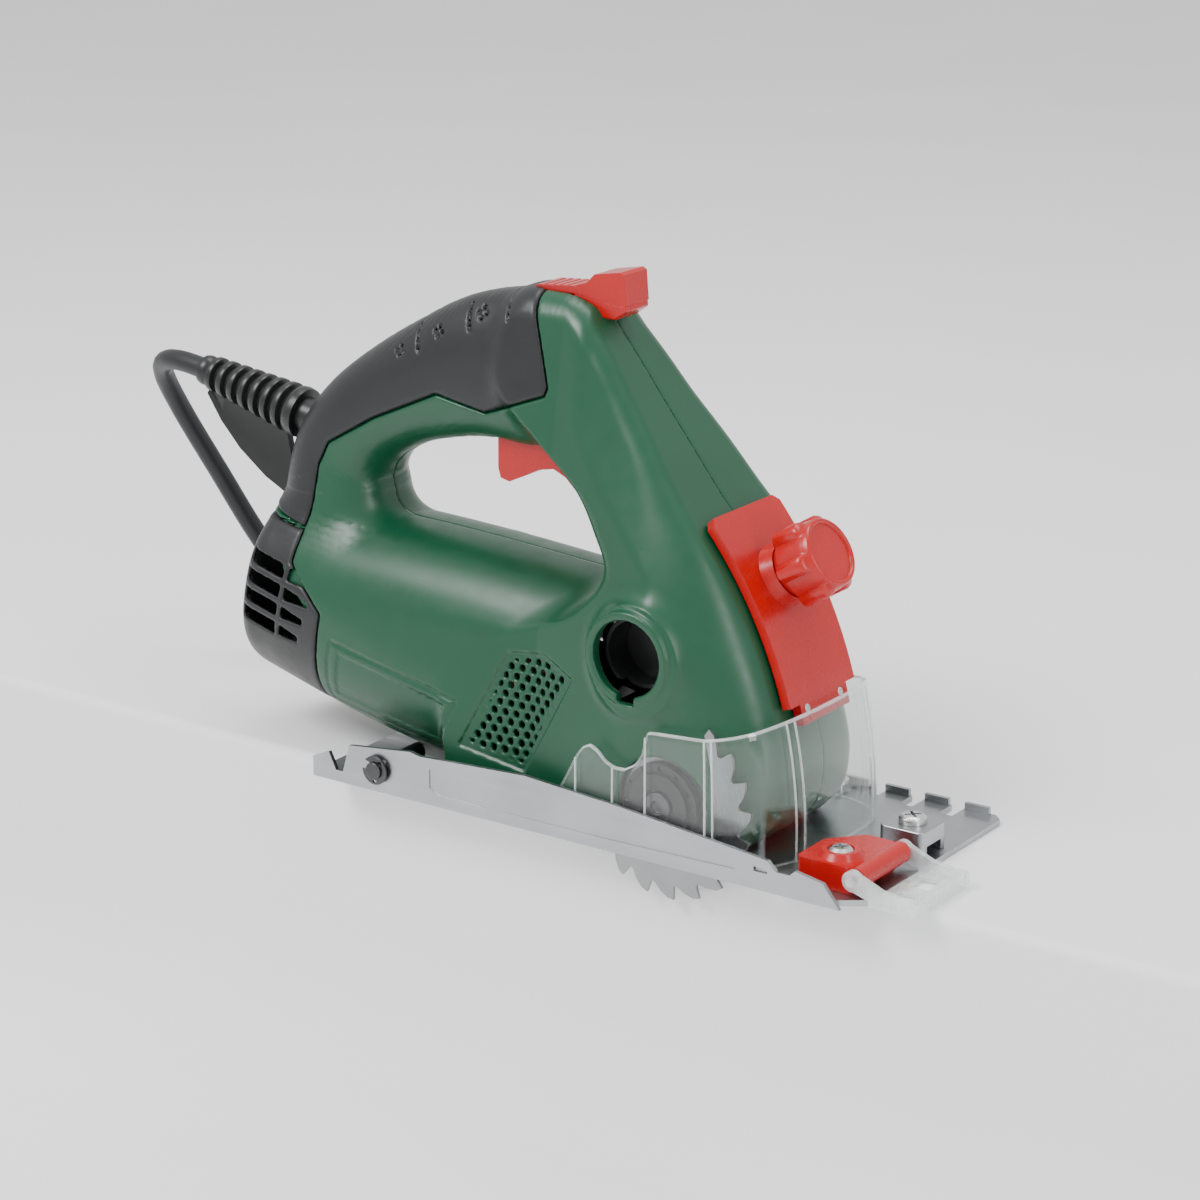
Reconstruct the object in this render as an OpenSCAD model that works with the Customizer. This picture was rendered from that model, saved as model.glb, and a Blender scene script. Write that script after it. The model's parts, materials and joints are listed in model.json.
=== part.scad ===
// Mini plunge circular saw. Millimetres. +X towards the nose, +Y to the left side, +Z up.
// The origin lies on the sole of the base. The saw is plunged to its full depth.

/* [View] */
// Which node to draw, or all of them

/* [Base] */
// Length of the base plate
base_length = 214; // [190:1:240]
// Width of the base plate
base_width = 95; // [85:1:110]
// Front edge of the base plate, ahead of the origin
base_front = 110; // [100:1:120]
// Thickness of the base plate
base_t = 2; // [1.5:0.1:3]
// Thickness of the upright flanges
flange_t = 1.5; // [1:0.1:2.5]

/* [Blade] */
// Diameter of the saw blade
blade_d = 65; // [60:1:70]
// Teeth round the blade
blade_teeth = 20; // [16:1:30]
// Thickness of the blade's body
blade_t = 1.2; // [0.8:0.1:2]
// Middle of the blade's thickness, to the right of the centre plane
blade_y = -38; // [-39:0.5:-36]
// Height of the blade's axis over the sole when fully plunged
axis_z = 17; // [16:0.5:18]
// Distance of the blade's axis ahead of the origin
axis_x = 34; // [30:0.5:38]

/* [Plunge] */
// Rear pivot, along the saw
pivot_x = -76; // [-80:1:-70]
// Rear pivot, above the sole
pivot_z = 8; // [6:0.5:10]
// Outer radius of the curved depth guide about the pivot
guide_r = 150.4; // [149:0.1:152]
// Angle of the depth knob above the pivot
knob_a = 31.4; // [28:0.1:34]

/* [Housing] */
// Slope of the motor's axis, nose down
motor_tilt = 11; // [8:0.5:12]
// Thickness of the housing's wall
wall = 2.6; // [2:0.1:3.5]
// Thickness of the soft grip layer
soft_t = 1.5; // [1:0.1:2]

/* [Drive] */
// Teeth of the pinion
pinion_teeth = 8; // [7:1:10]
// Teeth of the bevel gear
gear_teeth = 18; // [16:1:22]
// Pitch radius of the bevel gear
gear_r = 8.4; // [8:0.1:9]

/* [Cord] */
// Diameter of the supply cord
cord_d = 7.5; // [6.5:0.1:9]
// Mean radius of the coil
coil_r = 45; // [40:1:50]

/* [Hidden] */
eps = 0.01;
hw = base_width / 2;
base_back = base_front - base_length;
pinion_r = gear_r * pinion_teeth / gear_teeth;
tooth_share = 0.32;
spring_at = [51, 18.5];
blade_r = blade_d / 2;
coil_at = [-84, 110];
plug_at = [-180, 117];

// ---------------------------------------------------------------- helpers
// solid through a list of rings with the same number of points
module loft(rings) {
  n = len(rings[0]);
  m = len(rings);
  polyhedron(
    points = [for (r = rings) for (p = r) p],
    faces = concat(
      [[for (i = [0:n - 1]) i]],
      [for (k = [0:m - 2]) for (i = [0:n - 1])
        each [[k * n + i, (k + 1) * n + (i + 1) % n, k * n + (i + 1) % n],
              [k * n + i, (k + 1) * n + i, (k + 1) * n + (i + 1) % n]]],
      [[for (i = [0:n - 1]) (m - 1) * n + n - 1 - i]]),
    convexity = 6);
}

function sgn(v) = v < 0 ? -1 : 1;

// closed oval, counted anticlockwise: half sizes up, down and sideways, and how square it is
function oval(up, down, side, sq, n = 28) = [for (i = [0:n - 1])
  let (t = 360 * i / n, c = cos(t), s = sin(t))
  [(c > 0 ? up : down) * sgn(c) * pow(abs(c), 2 / sq), side * sgn(s) * pow(abs(s), 2 / sq)]];

// turns what is drawn along +Z so that it runs back along the motor's axis
module on_motor(s = 0) {
  translate([axis_x, 0, axis_z]) rotate([0, -90 + motor_tilt, 0]) translate([0, 0, s])
    children();
}

// extrudes a side view, drawn as [x, z], from y0 to y1
module side(y0, y1) {
  translate([0, y1, 0]) rotate([90, 0, 0]) linear_extrude(height = y1 - y0, convexity = 8)
    children();
}

// cylinder along Y from y0 to y1
module ycyl(x, z, r, y0, y1, fn = 48) {
  translate([x, y1, z]) rotate([90, 0, 0]) cylinder(r = r, h = y1 - y0, $fn = fn);
}

// places a child, drawn along +Z, radially out from the pivot at angle a, starting at radius r
module radial(a, r, y = 0) {
  translate([pivot_x + r * cos(a), y, pivot_z + r * sin(a)]) rotate([0, 90 - a, 0]) children();
}

// helical wire along +Z, as one faceted sweep
module coil_wire(r, wire, height, turns, per = 14, sides = 6) {
  n = turns * per;
  loft([for (k = [0:n])
    let (a = 360 * k / per, z = height * k / n)
    [for (j = [0:sides - 1])
      let (b = -360 * j / sides, q = r + wire * cos(b))
      [q * cos(a), q * sin(a), z + wire * sin(b)]]]);
}

// bearing drawn along +Z: two rings with a shield between them
module bearing(bore, outer, w) {
  rotate_extrude($fn = 64) {
    translate([bore, 0]) square([1.5, w]);
    translate([outer - 1.6, 0]) square([1.6, w]);
    translate([bore + 1.4, 0.6]) square([outer - bore - 2.9, w - 1.2]);
  }
}

// pan-head screw along +Z, head at z 0 and up, with a cross recess
module cross_screw(head_r, head_h, shank_r, length) {
  difference() {
    union() {
      cylinder(r = head_r, h = head_h * 0.6, $fn = 40);
      translate([0, 0, head_h * 0.6 - eps])
        cylinder(r1 = head_r, r2 = head_r * 0.7, h = head_h * 0.4 + eps, $fn = 40);
      translate([0, 0, -length]) cylinder(r = shank_r, h = length + eps, $fn = 32);
    }
    for (a = [45, 135]) rotate([0, 0, a])
      translate([-head_r * 0.6, -0.5, head_h * 0.35]) cube([head_r * 1.2, 1, head_h]);
  }
}

// smooth path through points, as a list of points
function mix(a, b, t) = a * (1 - t) + b * t;
function spline(p, per) = [for (i = [0:len(p) - 2]) each
  let (a = p[max(i - 1, 0)], b = p[i], c = p[i + 1], d = p[min(i + 2, len(p) - 1)])
  [for (k = [0:per - 1]) let (t = k / per)
    0.5 * (2 * b + (c - a) * t + (2 * a - 5 * b + 4 * c - d) * t * t
      + (3 * b - a - 3 * c + d) * t * t * t)], p[len(p) - 1]];
function unit(v) = v / norm(v);
function along(p, i) = unit(p[min(i + 1, len(p) - 1)] - p[max(i - 1, 0)]);
function carried(u, t) = unit(u - t * (u * t));
function frames(p, i = 0, u = [0, 0, 1]) = i == len(p) ? [] :
  let (t = along(p, i), v = carried(u, t)) concat([[t, v]], frames(p, i + 1, v));

// round tube along a path
module tube(path, r, sides = 10) {
  f = frames(path);
  loft([for (i = [0:len(path) - 1]) let (t = f[i][0], u = f[i][1], w = cross(t, u))
    [for (j = [0:sides - 1]) path[i] + r * (cos(360 * j / sides) * u
      + sin(360 * j / sides) * w)]]);
}

// ---------------------------------------------------------------- housing shape
// barrel: distance back from the blade's axis, half sizes up, down and sideways
barrel = [
  [28, 50, 12, 35.5], [50, 51, 24, 35.5], [75, 48.5, 29, 35], [100, 45.5, 33, 34.5],
  [125, 42, 34, 34], [150, 38, 33, 33.2], [168, 35.5, 32, 32], [180, 34, 31.5, 30.5],
  [186, 32, 30, 28], [189.5, 28, 27, 24]];
// nose: height, front, back, right and left sides, then front and rear corner sizes
nose = [
  [3, 58, -56, 41.5, 31, 26, 16, 8, 8],
  [12, 66, -56, 41.5, 32, 32, 18, 8, 8],
  [25, 69.3, -56, 41.5, 33, 36, 20, 8, 8],
  [42, 66.2, -50, 41.5, 33, 36, 20, 12, 12],
  [58, 61.5, -30, 41.5, 33, 36, 20, 16, 14],
  [72, 55.6, -14, 40.5, 33, 34, 19.5, 20, 16],
  [86, 48, -8, 37.5, 33, 30, 16, 22, 18],
  [98, 39.4, -15, 33, 31.5, 22, 11, 22, 16],
  [110, 29, -26, 28.5, 28, 14, 8, 18, 12],
  [122, 19.5, -38, 24.5, 24.5, 9, 6.5, 12, 10],
  [137, 7.5, -46, 20.5, 20.5, 8, 6, 8, 8],
  [150, -2.6, -46, 18, 18, 7, 6, 7, 7],
  [160, -11, -45, 15.6, 15.6, 7, 6, 7, 6],
  [166, -18, -43, 12, 12, 7, 6, 7, 6],
  [168.5, -24, -40, 8, 8, 5, 4, 5, 4]];
// handle bar and rear post: middle, half height, half width, slope in degrees
bar = [
  [-18, 141, 24, 15.5, 0], [-40, 141.5, 26.5, 16.4, 2], [-60, 140, 24.5, 17, 12],
  [-79, 134, 21.2, 17, 22], [-97, 126, 18.6, 17, 28], [-113, 115, 17.6, 17.4, 42],
  [-122.5, 101, 19, 18, 66], [-124, 84, 21.5, 20, 84], [-122, 62, 24, 22, 92]];

module barrel_solid(g = 0) {
  on_motor() loft([for (r = barrel)
    let (s = r[0] > 188 ? r[0] - g : (r[0] < 30 ? r[0] + g : r[0]))
    [for (p = oval(r[1] - g, r[2] - g, r[3] - g, 2.4)) [p[0], p[1], s]]]);
}

function corner(cx, cy, rx, ry, a0) = [for (k = [0:5]) let (a = a0 + 18 * k)
  [cx + rx * cos(a), cy + ry * sin(a)]];

module nose_solid(g = 0) {
  loft([for (i = [0:len(nose) - 1]) let (r = nose[i],
      z = r[0] + (i == 0 ? g : 0) - (i == len(nose) - 1 ? g : 0),
      f = r[1] - g, b = r[2] + g, n = r[3] - g, l = r[4] - g,
      cx = r[5], cy = max(r[6] - g, 1), rx = r[7], ry = max(r[8] - g, 1))
    [for (p = concat(
        corner(f - cx, l - cy * 0.95, cx, cy * 0.95, 0),
        corner(b + rx, l - ry, rx, ry, 90),
        corner(b + rx, -n + ry, rx, ry, 180),
        corner(f - cx, -n + cy, cx, cy, 270))) [p[0], p[1], z]]]);
}

module bar_solid(g = 0) {
  loft([for (r = bar)
    [for (p = oval(r[2] - g, r[2] - g, r[3] - g, 2.5, 24))
      [r[0] - p[0] * sin(r[4]), p[1], r[1] + p[0] * cos(r[4])]]]);
}

module shape(g = 0) {
  intersection() {
    union() {
      barrel_solid(g);
      nose_solid(g);
      bar_solid(g);
    }
    translate([-200, -60, 3 + g]) cube([400, 120, 200]);
  }
}

// the parts of the outline that the soft grip covers, in side view
module grip_outline() {
  polygon([[-36, 175], [-26, 140], [-27, 137], [-54, 127], [-73, 131], [-100, 119],
    [-119, 108], [-123, 100], [-125, 84], [-126, 78], [-170, 86], [-175, 140], [-100, 190]]);
}

// the parts that the rear vent cap covers, in side view
module cap_outline() {
  polygon([[-126, 77.6], [-127, 67], [-112, 52], [-118, 14], [-190, 0], [-190, 85.6]]);
}

module ear(s) {
  y0 = s > 0 ? 20 : -44.6;
  side(y0, y0 + 24.6) difference() {
    union() {
      translate([pivot_x, pivot_z]) circle(r = 5.5, $fn = 32);
      translate([pivot_x - 5.5, pivot_z]) square([11, 5.4]);
    }
    translate([pivot_x, pivot_z]) circle(r = 2.6, $fn = 12);
  }
}

boss_at = [[-135, 74, 0], [-112, 103, 0], [-34, 156, 0], [2, 128, 0], [52, 50, 1], [-62, 74, 0],
  [-10, 66, 0]];

module bosses(r, y0, y1) {
  for (b = boss_at) ycyl(b[0], b[1], r, b[2] == 1 ? max(y0, -33) : y0, y1, 16);
}

// moulded shape of the housing, before it is cut in two
module moulded() {
  difference() {
    union() {
      difference() {
        union() {
          shape(0);
          ycyl(21.6, 64, 15.5, -43.6, -28, 72);
        }
        shape(wall);
        ycyl(21.6, 64, 12, -50, -28, 72);
      }
      difference() {
        for (s = [-1, 1]) ear(s);
        shape(wall);
      }
      intersection() {
        bosses(4, -60, 60);
        shape(0.5);
      }
      // seat over the return spring
      intersection() {
        translate([45.5, 13.4, 21.5]) cube([13.5, 34, 2.6]);
        shape(0.5);
      }
      // seats that hold the stator
      intersection() {
        on_motor(86) difference() {
          cylinder(r = 40, h = 3, $fn = 48);
          translate([0, 0, -1]) cylinder(r = 22.5, h = 5, $fn = 64);
        }
        shape(0.5);
      }
      intersection() {
        on_motor(160) difference() {
          cylinder(r = 40, h = 2.4, $fn = 48);
          translate([0, 0, -1]) cylinder(r = 22, h = 5, $fn = 64);
        }
        shape(0.5);
      }
      // rear bearing seat
      intersection() {
        on_motor(172) difference() {
          cylinder(r = 40, h = 8, $fn = 48);
          translate([0, 0, -1]) cylinder(r = 9, h = 7.2, $fn = 48);
          translate([0, 0, -1]) cylinder(r = 6, h = 12, $fn = 48);
          for (a = [45:90:315]) rotate([0, 0, a]) translate([19, 0, -1])
            cylinder(r = 6, h = 12, $fn = 32);
        }
        shape(0.5);
      }
    }
    // blade chamber, with its slot in the floor and the opening for the outer flange
    ycyl(axis_x, axis_z, 34.6, -40.2, -33.4, 96);
    translate([-0.6, -40.2, -2]) cube([69.2, 6.8, 16]);
    ycyl(axis_x, axis_z, 15.6, -50, -38, 72);
    translate([axis_x - 15.6, -50, -2]) cube([31.2, 10, axis_z + 2]);
    // slot for the depth clamp
    slot_cut(knob_a - 10.8, knob_a + 1.6, 3.4, 138, 156);
    // trigger opening and the slot for the lock slider
    side(-7.4, 7.4) polygon([[-57, 100], [-22.5, 100], [-22.5, 122.5], [-57, 122.5]]);
    side(-9.4, 9.4) polygon([[-32, 113], [-23.6, 113], [-23.6, 125], [-32, 125]]);
    translate([-37, -6.3, 158]) cube([27, 12.6, 14]);
    // cord entry
    translate([-146, 0, 112]) rotate([0, -78, 0]) translate([0, 0, -30])
      cylinder(r = 6.3, h = 60, $fn = 48);
    // side vents for the fan's air
    intersection() {
      vent_holes(-50, -28);
      union() { translate([-60, -50, 0]) cube([60, 30, 80]); }
    }
    vent_slots();
    // openings behind the vent cap
    intersection() {
      on_motor(163.3) difference() {
        cylinder(r = 60, h = 20.7, $fn = 48);
        translate([0, 0, -1]) cylinder(r = 24.6, h = 24, $fn = 48);
      }
      for (z = [36, 46.5, 57]) translate([-160, -60, z]) cube([26, 120, 5]);
    }
    // soft grip and vent cap sit in a step
    difference() {
      side(-60, 60) union() { grip_outline(); cap_outline(); }
      shape(soft_t + 0.1);
    }
    // label recess
    intersection() {
      side(-50, -20) polygon([[-104, 40], [-56, 31], [-63, 16], [-109, 23]]);
      difference() { shape(-1); shape(0.6); }
    }
    bosses(1.3, -12, 60);
    for (b = boss_at) ycyl(b[0], b[1], 3.1, b[0] > 30 ? 22 : 12, 60, 16);
    // way for the return spring
    translate([spring_at[0], spring_at[1], -1]) cylinder(r = 6, h = 12, $fn = 24);
  }
}

module slot_cut(a0, a1, half, r0, r1) {
  side(-half, half) polygon(concat(
    [for (k = [0:8]) let (a = a0 + (a1 - a0) * k / 8)
      [pivot_x + r1 * cos(a), pivot_z + r1 * sin(a)]],
    [for (k = [0:8]) let (a = a1 + (a0 - a1) * k / 8)
      [pivot_x + r0 * cos(a), pivot_z + r0 * sin(a)]]));
}

// field of round vent holes on the right side, in slanted rows
module vent_holes(y0, y1) {
  for (i = [0:5]) for (j = [0:6])
    ycyl(-15 - 4.6 * i + -0.2 * j, 54 + 0.1 * i - 5.2 * j - 0.5 * i, 1.35, y0, y1, 8);
}

module vent_slots() {
  for (k = [0:4]) translate([-44 + 8 * k, 20, 34]) cube([3, 30, 20]);
}

module true_bores() {
  for (s = [-1, 1]) ycyl(pivot_x, pivot_z, 3.05, s > 0 ? 20 : -50, s > 0 ? 50 : -20);
  on_motor(171) cylinder(r = 9.55, h = 6.3, $fn = 64);
}

module housing_right() {
  color([0.06, 0.33, 0.2]) difference() {
    resize([0, 0, 0]) intersection() {
      moulded();
      translate([-250, -100, -10]) cube([500, 100 - 0.02, 300]);
    }
    // dust outlet
    ycyl(21.6, 64, 12.6, -50, -28, 72);
    true_bores();
  }
}

module housing_left() {
  color([0.06, 0.33, 0.2]) difference() {
    resize([0, 0, 0]) intersection() {
      moulded();
      translate([-250, 0.02, -10]) cube([500, 100, 300]);
    }
    true_bores();
  }
}

module handle_grip() {
  color([0.07, 0.08, 0.08]) resize([0, 0, 0]) difference() {
    intersection() {
      shape(0);
      side(-60, 60) offset(delta = -0.1) grip_outline();
    }
    shape(soft_t);
    translate([-146, 0, 112]) rotate([0, -78, 0]) translate([0, 0, -30])
      cylinder(r = 9.2, h = 60, $fn = 48);
    for (b = boss_at) if (b[0] < -100) ycyl(b[0], b[1], 3.1, 12, 60, 32);
    bosses(3.2, 10, 60);
  }
}

module rear_vent_cap() {
  color([0.08, 0.09, 0.09]) resize([0, 0, 0]) difference() {
    intersection() {
      shape(0);
      side(-60, 60) offset(delta = -0.1) cap_outline();
    }
    shape(soft_t);
    for (z = [36, 46.5, 57]) for (s = [-1, 1])
      translate([-160, s > 0 ? 3 : -60, z]) cube([26, 57, 5]);
    bosses(3.2, 10, 60);
  }
}

module chip_duct() {
  color([0.1, 0.1, 0.1]) difference() {
    ycyl(21.6, 64, 12.3, -36.3, -24, 72);
    ycyl(21.6, 64, 11, -50, -25.6, 72);
    translate([8, -39.8, 40]) cube([27, 7, 14.5]);
  }
}

module housing_screws() {
  color([0.55, 0.56, 0.58]) for (b = boss_at) {
    y = b[0] > 30 ? 22 : 12;
    translate([b[0], y + 0.05, b[1]]) rotate([-90, 0, 0]) cross_screw(2.9, 2, 1.25, y + 9);
  }
}

// ---------------------------------------------------------------- base
module flange_right() {
  side(-hw, -hw + flange_t) difference() {
    polygon([[base_back, 0], [base_back, 7], [-97, 10], [-94, 4], [-91, 4], [-88, 14],
      [-62, 17], [-58, 16.2], [-15, 18.6], [23, 16], [78, 10.4], [81, 7.4], [86, 7.4],
      [88, 9.2], [98, 7.4], [104, 0]]);
    translate([pivot_x, pivot_z]) circle(r = 3.03, $fn = 48);
    translate([73, 6]) square([5, 1.6]);
  }
}

module flange_left() {
  side(hw - flange_t, hw) difference() {
    union() {
      polygon([[base_back, 0], [base_back, 7], [-88, 13], [-62, 16], [-52, 6], [-30, 4.4],
        [-30, 0]]);
      translate([-31, 0]) square([92, 4.4]);
      for (x = [66, 81, 96]) translate([x, 0]) square([9, 4.4]);
    }
    translate([pivot_x, pivot_z]) circle(r = 3.03, $fn = 48);
  }
}

module base_plate() {
  color([0.72, 0.73, 0.74]) difference() {
    union() {
      linear_extrude(height = base_t) difference() {
        polygon([[base_back, -hw], [98, -hw], [base_front, -hw + 9], [base_front, hw - 3],
          [base_front - 3, hw], [base_back, hw]]);
        // blade slot and the notches in the left edge
        translate([-2, -42.6]) square([75, 9.4]);
        for (x = [75.5, 90.5]) translate([x, hw - 9]) square([5, 12]);
        translate([61, hw - 6]) square([5, 12]);
        // screw holes
        for (p = guard_screw_at) translate(p) circle(r = 1.6, $fn = 32);
        translate([94, -30]) circle(r = 1.65, $fn = 32);
        translate([99, 6]) circle(r = 1.6, $fn = 32);
        // pressed openings that save weight
        for (x = [-92, -40]) translate([x, -18]) square([26, 36]);
      }
      flange_right();
      flange_left();
      // stiffening beads
      for (y = [-28, 40]) translate([-66, y - 1.5, base_t - eps]) cube([54, 3, 0.6]);
    }
    // shallow pressed panel on the right flange
    side(-hw - 1, -hw + 0.35) polygon([[-54, 6], [-54, 12.5], [-14, 15], [22, 12.5],
      [66, 8.4], [66, 5], [20, 4], [-50, 4]]);
  }
}

// clear guard: plan of its outer face
guard_plan = [[-3, -45.7], [20, -45.7], [50, -45.7], [58, -45.2], [65.6, -42.4], [71, -37],
  [74.6, -29], [76.8, -19], [77.8, -8], [78, 2], [77.8, 12], [77, 20], [74, 26.5], [68, 31.5],
  [60, 34], [50, 35]];
guard_screw_at = [[52, 40]];

function guard_x(x, z) = x <= 50 ? x :
  50 + (x - 50) * (sqrt(pow(154, 2) - pow(z - pivot_z, 2)) + pivot_x - 50) / 28;
function inward(p, i, d) =
  let (a = p[max(i - 1, 0)], b = p[min(i + 1, len(p) - 1)], t = unit(b - a))
  p[i] + d * [-t[1], t[0]];

module guard_shell() {
  n = len(guard_plan);
  difference() {
    intersection() {
      loft([for (z = [base_t + 0.05, 14, 26, 38, 52]) concat(
        [for (i = [0:n - 1]) let (p = guard_plan[i]) [guard_x(p[0], z), p[1], z]],
        [for (i = [n - 1:-1:0]) let (p = inward(guard_plan, i, 1.6))
          [guard_x(p[0], z), p[1], z]])]);
      // top edge: dips over the flange disc on the right, then rises to the front
      side(-60, 60) polygon([[-4, 0], [-4, 15], [6, 32], [9, 34], [12, 32.5], [16, 29],
        [22, 28], [28, 31.5], [30.5, 38], [31.5, 42], [34, 42.6], [54, 44], [80, 51],
        [90, 51], [90, 0]]);
    }
    // opening at the right end for the blade's chips
    translate([-10, -60, -1]) cube([6.5, 30, 60]);
  }
  // foot with its screw ear
  translate([44, 33.9, base_t + 0.05]) cube([16, 10, 2]);
  // double rib on the front wall
  for (p = [[75.4, -22], [74.4, -25.4]]) loft([for (z = [base_t + 0.05, 14, 26, 38, 46])
    let (x = guard_x(p[0], z))
    [[x + 0.5, p[1], z], [x + 0.5, p[1] + 0.8, z], [x - 1.2, p[1] + 0.8, z],
     [x - 1.2, p[1], z]]]);
}

module blade_guard() {
  color([0.86, 0.9, 0.92, 0.35]) difference() {
    resize([0, 0, 0]) guard_shell();
    translate([52, 40, 0]) cylinder(r = 1.65, h = 10, $fn = 32);
  }
}

module guard_screws() {
  color([0.55, 0.56, 0.58]) for (p = guard_screw_at)
    translate([p[0], p[1], base_t + 2.1]) cross_screw(3, 2, 1.5, 4);
}

module depth_guide() {
  color([0.8, 0.08, 0.06]) difference() {
    union() {
      intersection() {
        ycyl(pivot_x, pivot_z, guide_r, -19.5, 19.5, 180);
        side(-30, 30) polygon([[pivot_x, pivot_z],
          [pivot_x + 200 * cos(16.2), pivot_z + 200 * sin(16.2)],
          [pivot_x + 200 * cos(41), pivot_z + 200 * sin(41)]]);
      }
      radial(knob_a, guide_r - 1.5) cylinder(r1 = 11, r2 = 9.5, h = 6, $fn = 64);
      // tongues inside the guard's top edge
      intersection() {
        ycyl(pivot_x, pivot_z, guide_r, -14, 14, 180);
        side(-30, 30) polygon([[pivot_x, pivot_z],
          [pivot_x + 200 * cos(13.6), pivot_z + 200 * sin(13.6)],
          [pivot_x + 200 * cos(17), pivot_z + 200 * sin(17)]]);
      }
    }
    ycyl(pivot_x, pivot_z, 147.3, -40, 40, 180);
    // sloping top corners
    for (s = [-1, 1]) radial(41, 140)
      translate([-4, s * 19.5, 0]) rotate([0, 0, 45]) cube([9, 9, 40], center = true);
    radial(knob_a, 140) cylinder(r = 3.05, h = 40, $fn = 48);
    for (y = [-10, 10]) radial(15.4, 140, y) cylinder(r = 1.5, h = 20, $fn = 32);
  }
}

module guide_rivets() {
  color([0.6, 0.6, 0.62]) for (y = [-10, 10]) radial(15.4, 146.7, y) {
    cylinder(r = 2.3, h = 0.55, $fn = 40);
    cylinder(r = 1.42, h = 3.8, $fn = 32);
  }
}

module pin(s) {
  color([0.16, 0.16, 0.17]) difference() {
    translate([pivot_x, s * 25, pivot_z]) rotate([-90 * s, 0, 0]) cylinder(r = 3, h = 25.2,
      $fn = 48);
    translate([pivot_x, s * 48.4, pivot_z]) rotate([-90 * s, 0, 0]) difference() {
      cylinder(r = 5, h = 0.9, $fn = 48);
      cylinder(r = 2.4, h = 0.9, $fn = 48);
    }
  }
}

module pivot_pin_right() { pin(-1); }

module pivot_pin_left() { pin(1); }

module pivot_clips() {
  color([0.3, 0.3, 0.32]) for (s = [-1, 1])
    translate([pivot_x, s * 48.45, pivot_z]) rotate([-90 * s, 0, 0])
      linear_extrude(height = 0.8) difference() {
        circle(r = 5, $fn = 48);
        circle(r = 2.45, $fn = 48);
        rotate([0, 0, 200 * s]) translate([0, -1.7]) square([8, 3.4]);
        for (a = [110, 250]) rotate([0, 0, a + 200 * s]) translate([3.6, 0])
          circle(r = 0.8, $fn = 24);
      }
}

// parallel guide clamp: a low bridge with a slot for the guide's bar
module guide_bracket() {
  color([0.75, 0.76, 0.77]) difference() {
    translate([91, -2, base_t + 0.05]) linear_extrude(height = 9) offset(r = 2, $fn = 32)
      offset(delta = -2) square([16, 16]);
    translate([80, 1.5, base_t]) cube([40, 9, 3.6]);
    translate([99, 6, 0]) cylinder(r = 2.05, h = 30, $fn = 32);
  }
}

module guide_screw() {
  color([0.62, 0.63, 0.65]) translate([99, 6, base_t + 9.15])
    cross_screw(4.6, 2.6, 1.95, 4.4);
}

module indicator_mount() {
  color([0.8, 0.08, 0.06]) difference() {
    union() {
      translate([0, 0, base_t + 0.05]) linear_extrude(height = 8.6) offset(r = 2, $fn = 32)
        offset(delta = -2)
          polygon([[83, -38.8], [103, -38.8], [103, -11], [92, -11], [83, -22]]);
      ycyl(104.5, 7.6, 3.6, -38.8, -11, 48);
      translate([94, -30, base_t + 8.6]) cylinder(r1 = 7.4, r2 = 6, h = 2, $fn = 48);
    }
    ycyl(104.5, 7.6, 1.54, -60, 0, 32);
    translate([94, -30, 0]) cylinder(r = 1.65, h = 30, $fn = 32);
    translate([94, -30, base_t + 8.8]) cylinder(r = 4.2, h = 10, $fn = 48);
    // sight notch
    translate([100, -31, base_t]) cube([12, 12, 3.2]);
  }
}

module indicator_screw() {
  color([0.62, 0.63, 0.65]) translate([94, -30, base_t + 8.85])
    cross_screw(3.9, 2.4, 1.55, 10.6);
}

// clear flip-down plate that shows the cutting line
module cut_indicator() {
  color([0.86, 0.9, 0.92, 0.35]) difference() {
    union() {
      ycyl(104.5, 7.6, 1.5, -42.6, -7.2, 32);
      for (y = [-41.4, -10.4]) {
        ycyl(104.5, 7.6, 3.4, y, y + 2.2, 40);
        side(y, y + 2.2) polygon([[104.5, 10.9], [104.5, 4.4], [110.6, 2.6], [110.6, 0.6],
          [124, 0.6], [127.5, 2], [127.5, 5.2], [115, 6.6]]);
      }
      translate([110.6, -41.4, 0.6]) cube([14.4, 33.2, 1.6]);
      translate([124.6, -41.4, 0.6]) cube([2.4, 33.2, 5]);
    }
    translate([113.6, -36.5, -1]) cube([8, 9.5, 8]);
    translate([113.6, -22.5, -1]) cube([8, 9.5, 8]);
    // notch that lines up with the blade
    translate([123, blade_y - 0.6 + 6, -1]) cube([5, 1.2, 3]);
  }
}

module depth_knob() {
  color([0.8, 0.08, 0.06]) difference() {
    radial(knob_a, guide_r + 4.9) {
      cylinder(r = 9.6, h = 3, $fn = 64);
      translate([0, 0, 2.9]) linear_extrude(height = 11) offset(r = -1.6, $fn = 24)
        offset(delta = 1.6) union() {
          circle(r = 10.2, $fn = 64);
          for (a = [0:60:300]) rotate([0, 0, a]) translate([11.6, 0]) circle(r = 3, $fn = 32);
        }
      translate([0, 0, 13.8]) cylinder(r1 = 10, r2 = 8.2, h = 1.6, $fn = 64);
    }
    radial(knob_a, 140) cylinder(r = 3.04, h = 26.4, $fn = 48);
  }
}

module knob_bolt() {
  color([0.5, 0.5, 0.52]) radial(knob_a, 138.2) cylinder(r = 3, h = 27.8, $fn = 48);
}

module knob_clamp_plate() {
  color([0.5, 0.5, 0.52]) difference() {
    radial(knob_a, 138.4) translate([-4, -8, 0]) cube([8, 16, 2.4]);
    radial(knob_a, 130) cylinder(r = 3.02, h = 20, $fn = 48);
  }
}

module plunge_spring() {
  color([0.45, 0.46, 0.48]) translate([spring_at[0], spring_at[1], base_t + 0.9])
    coil_wire(4.2, 0.75, 17.6, 6);
}

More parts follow.
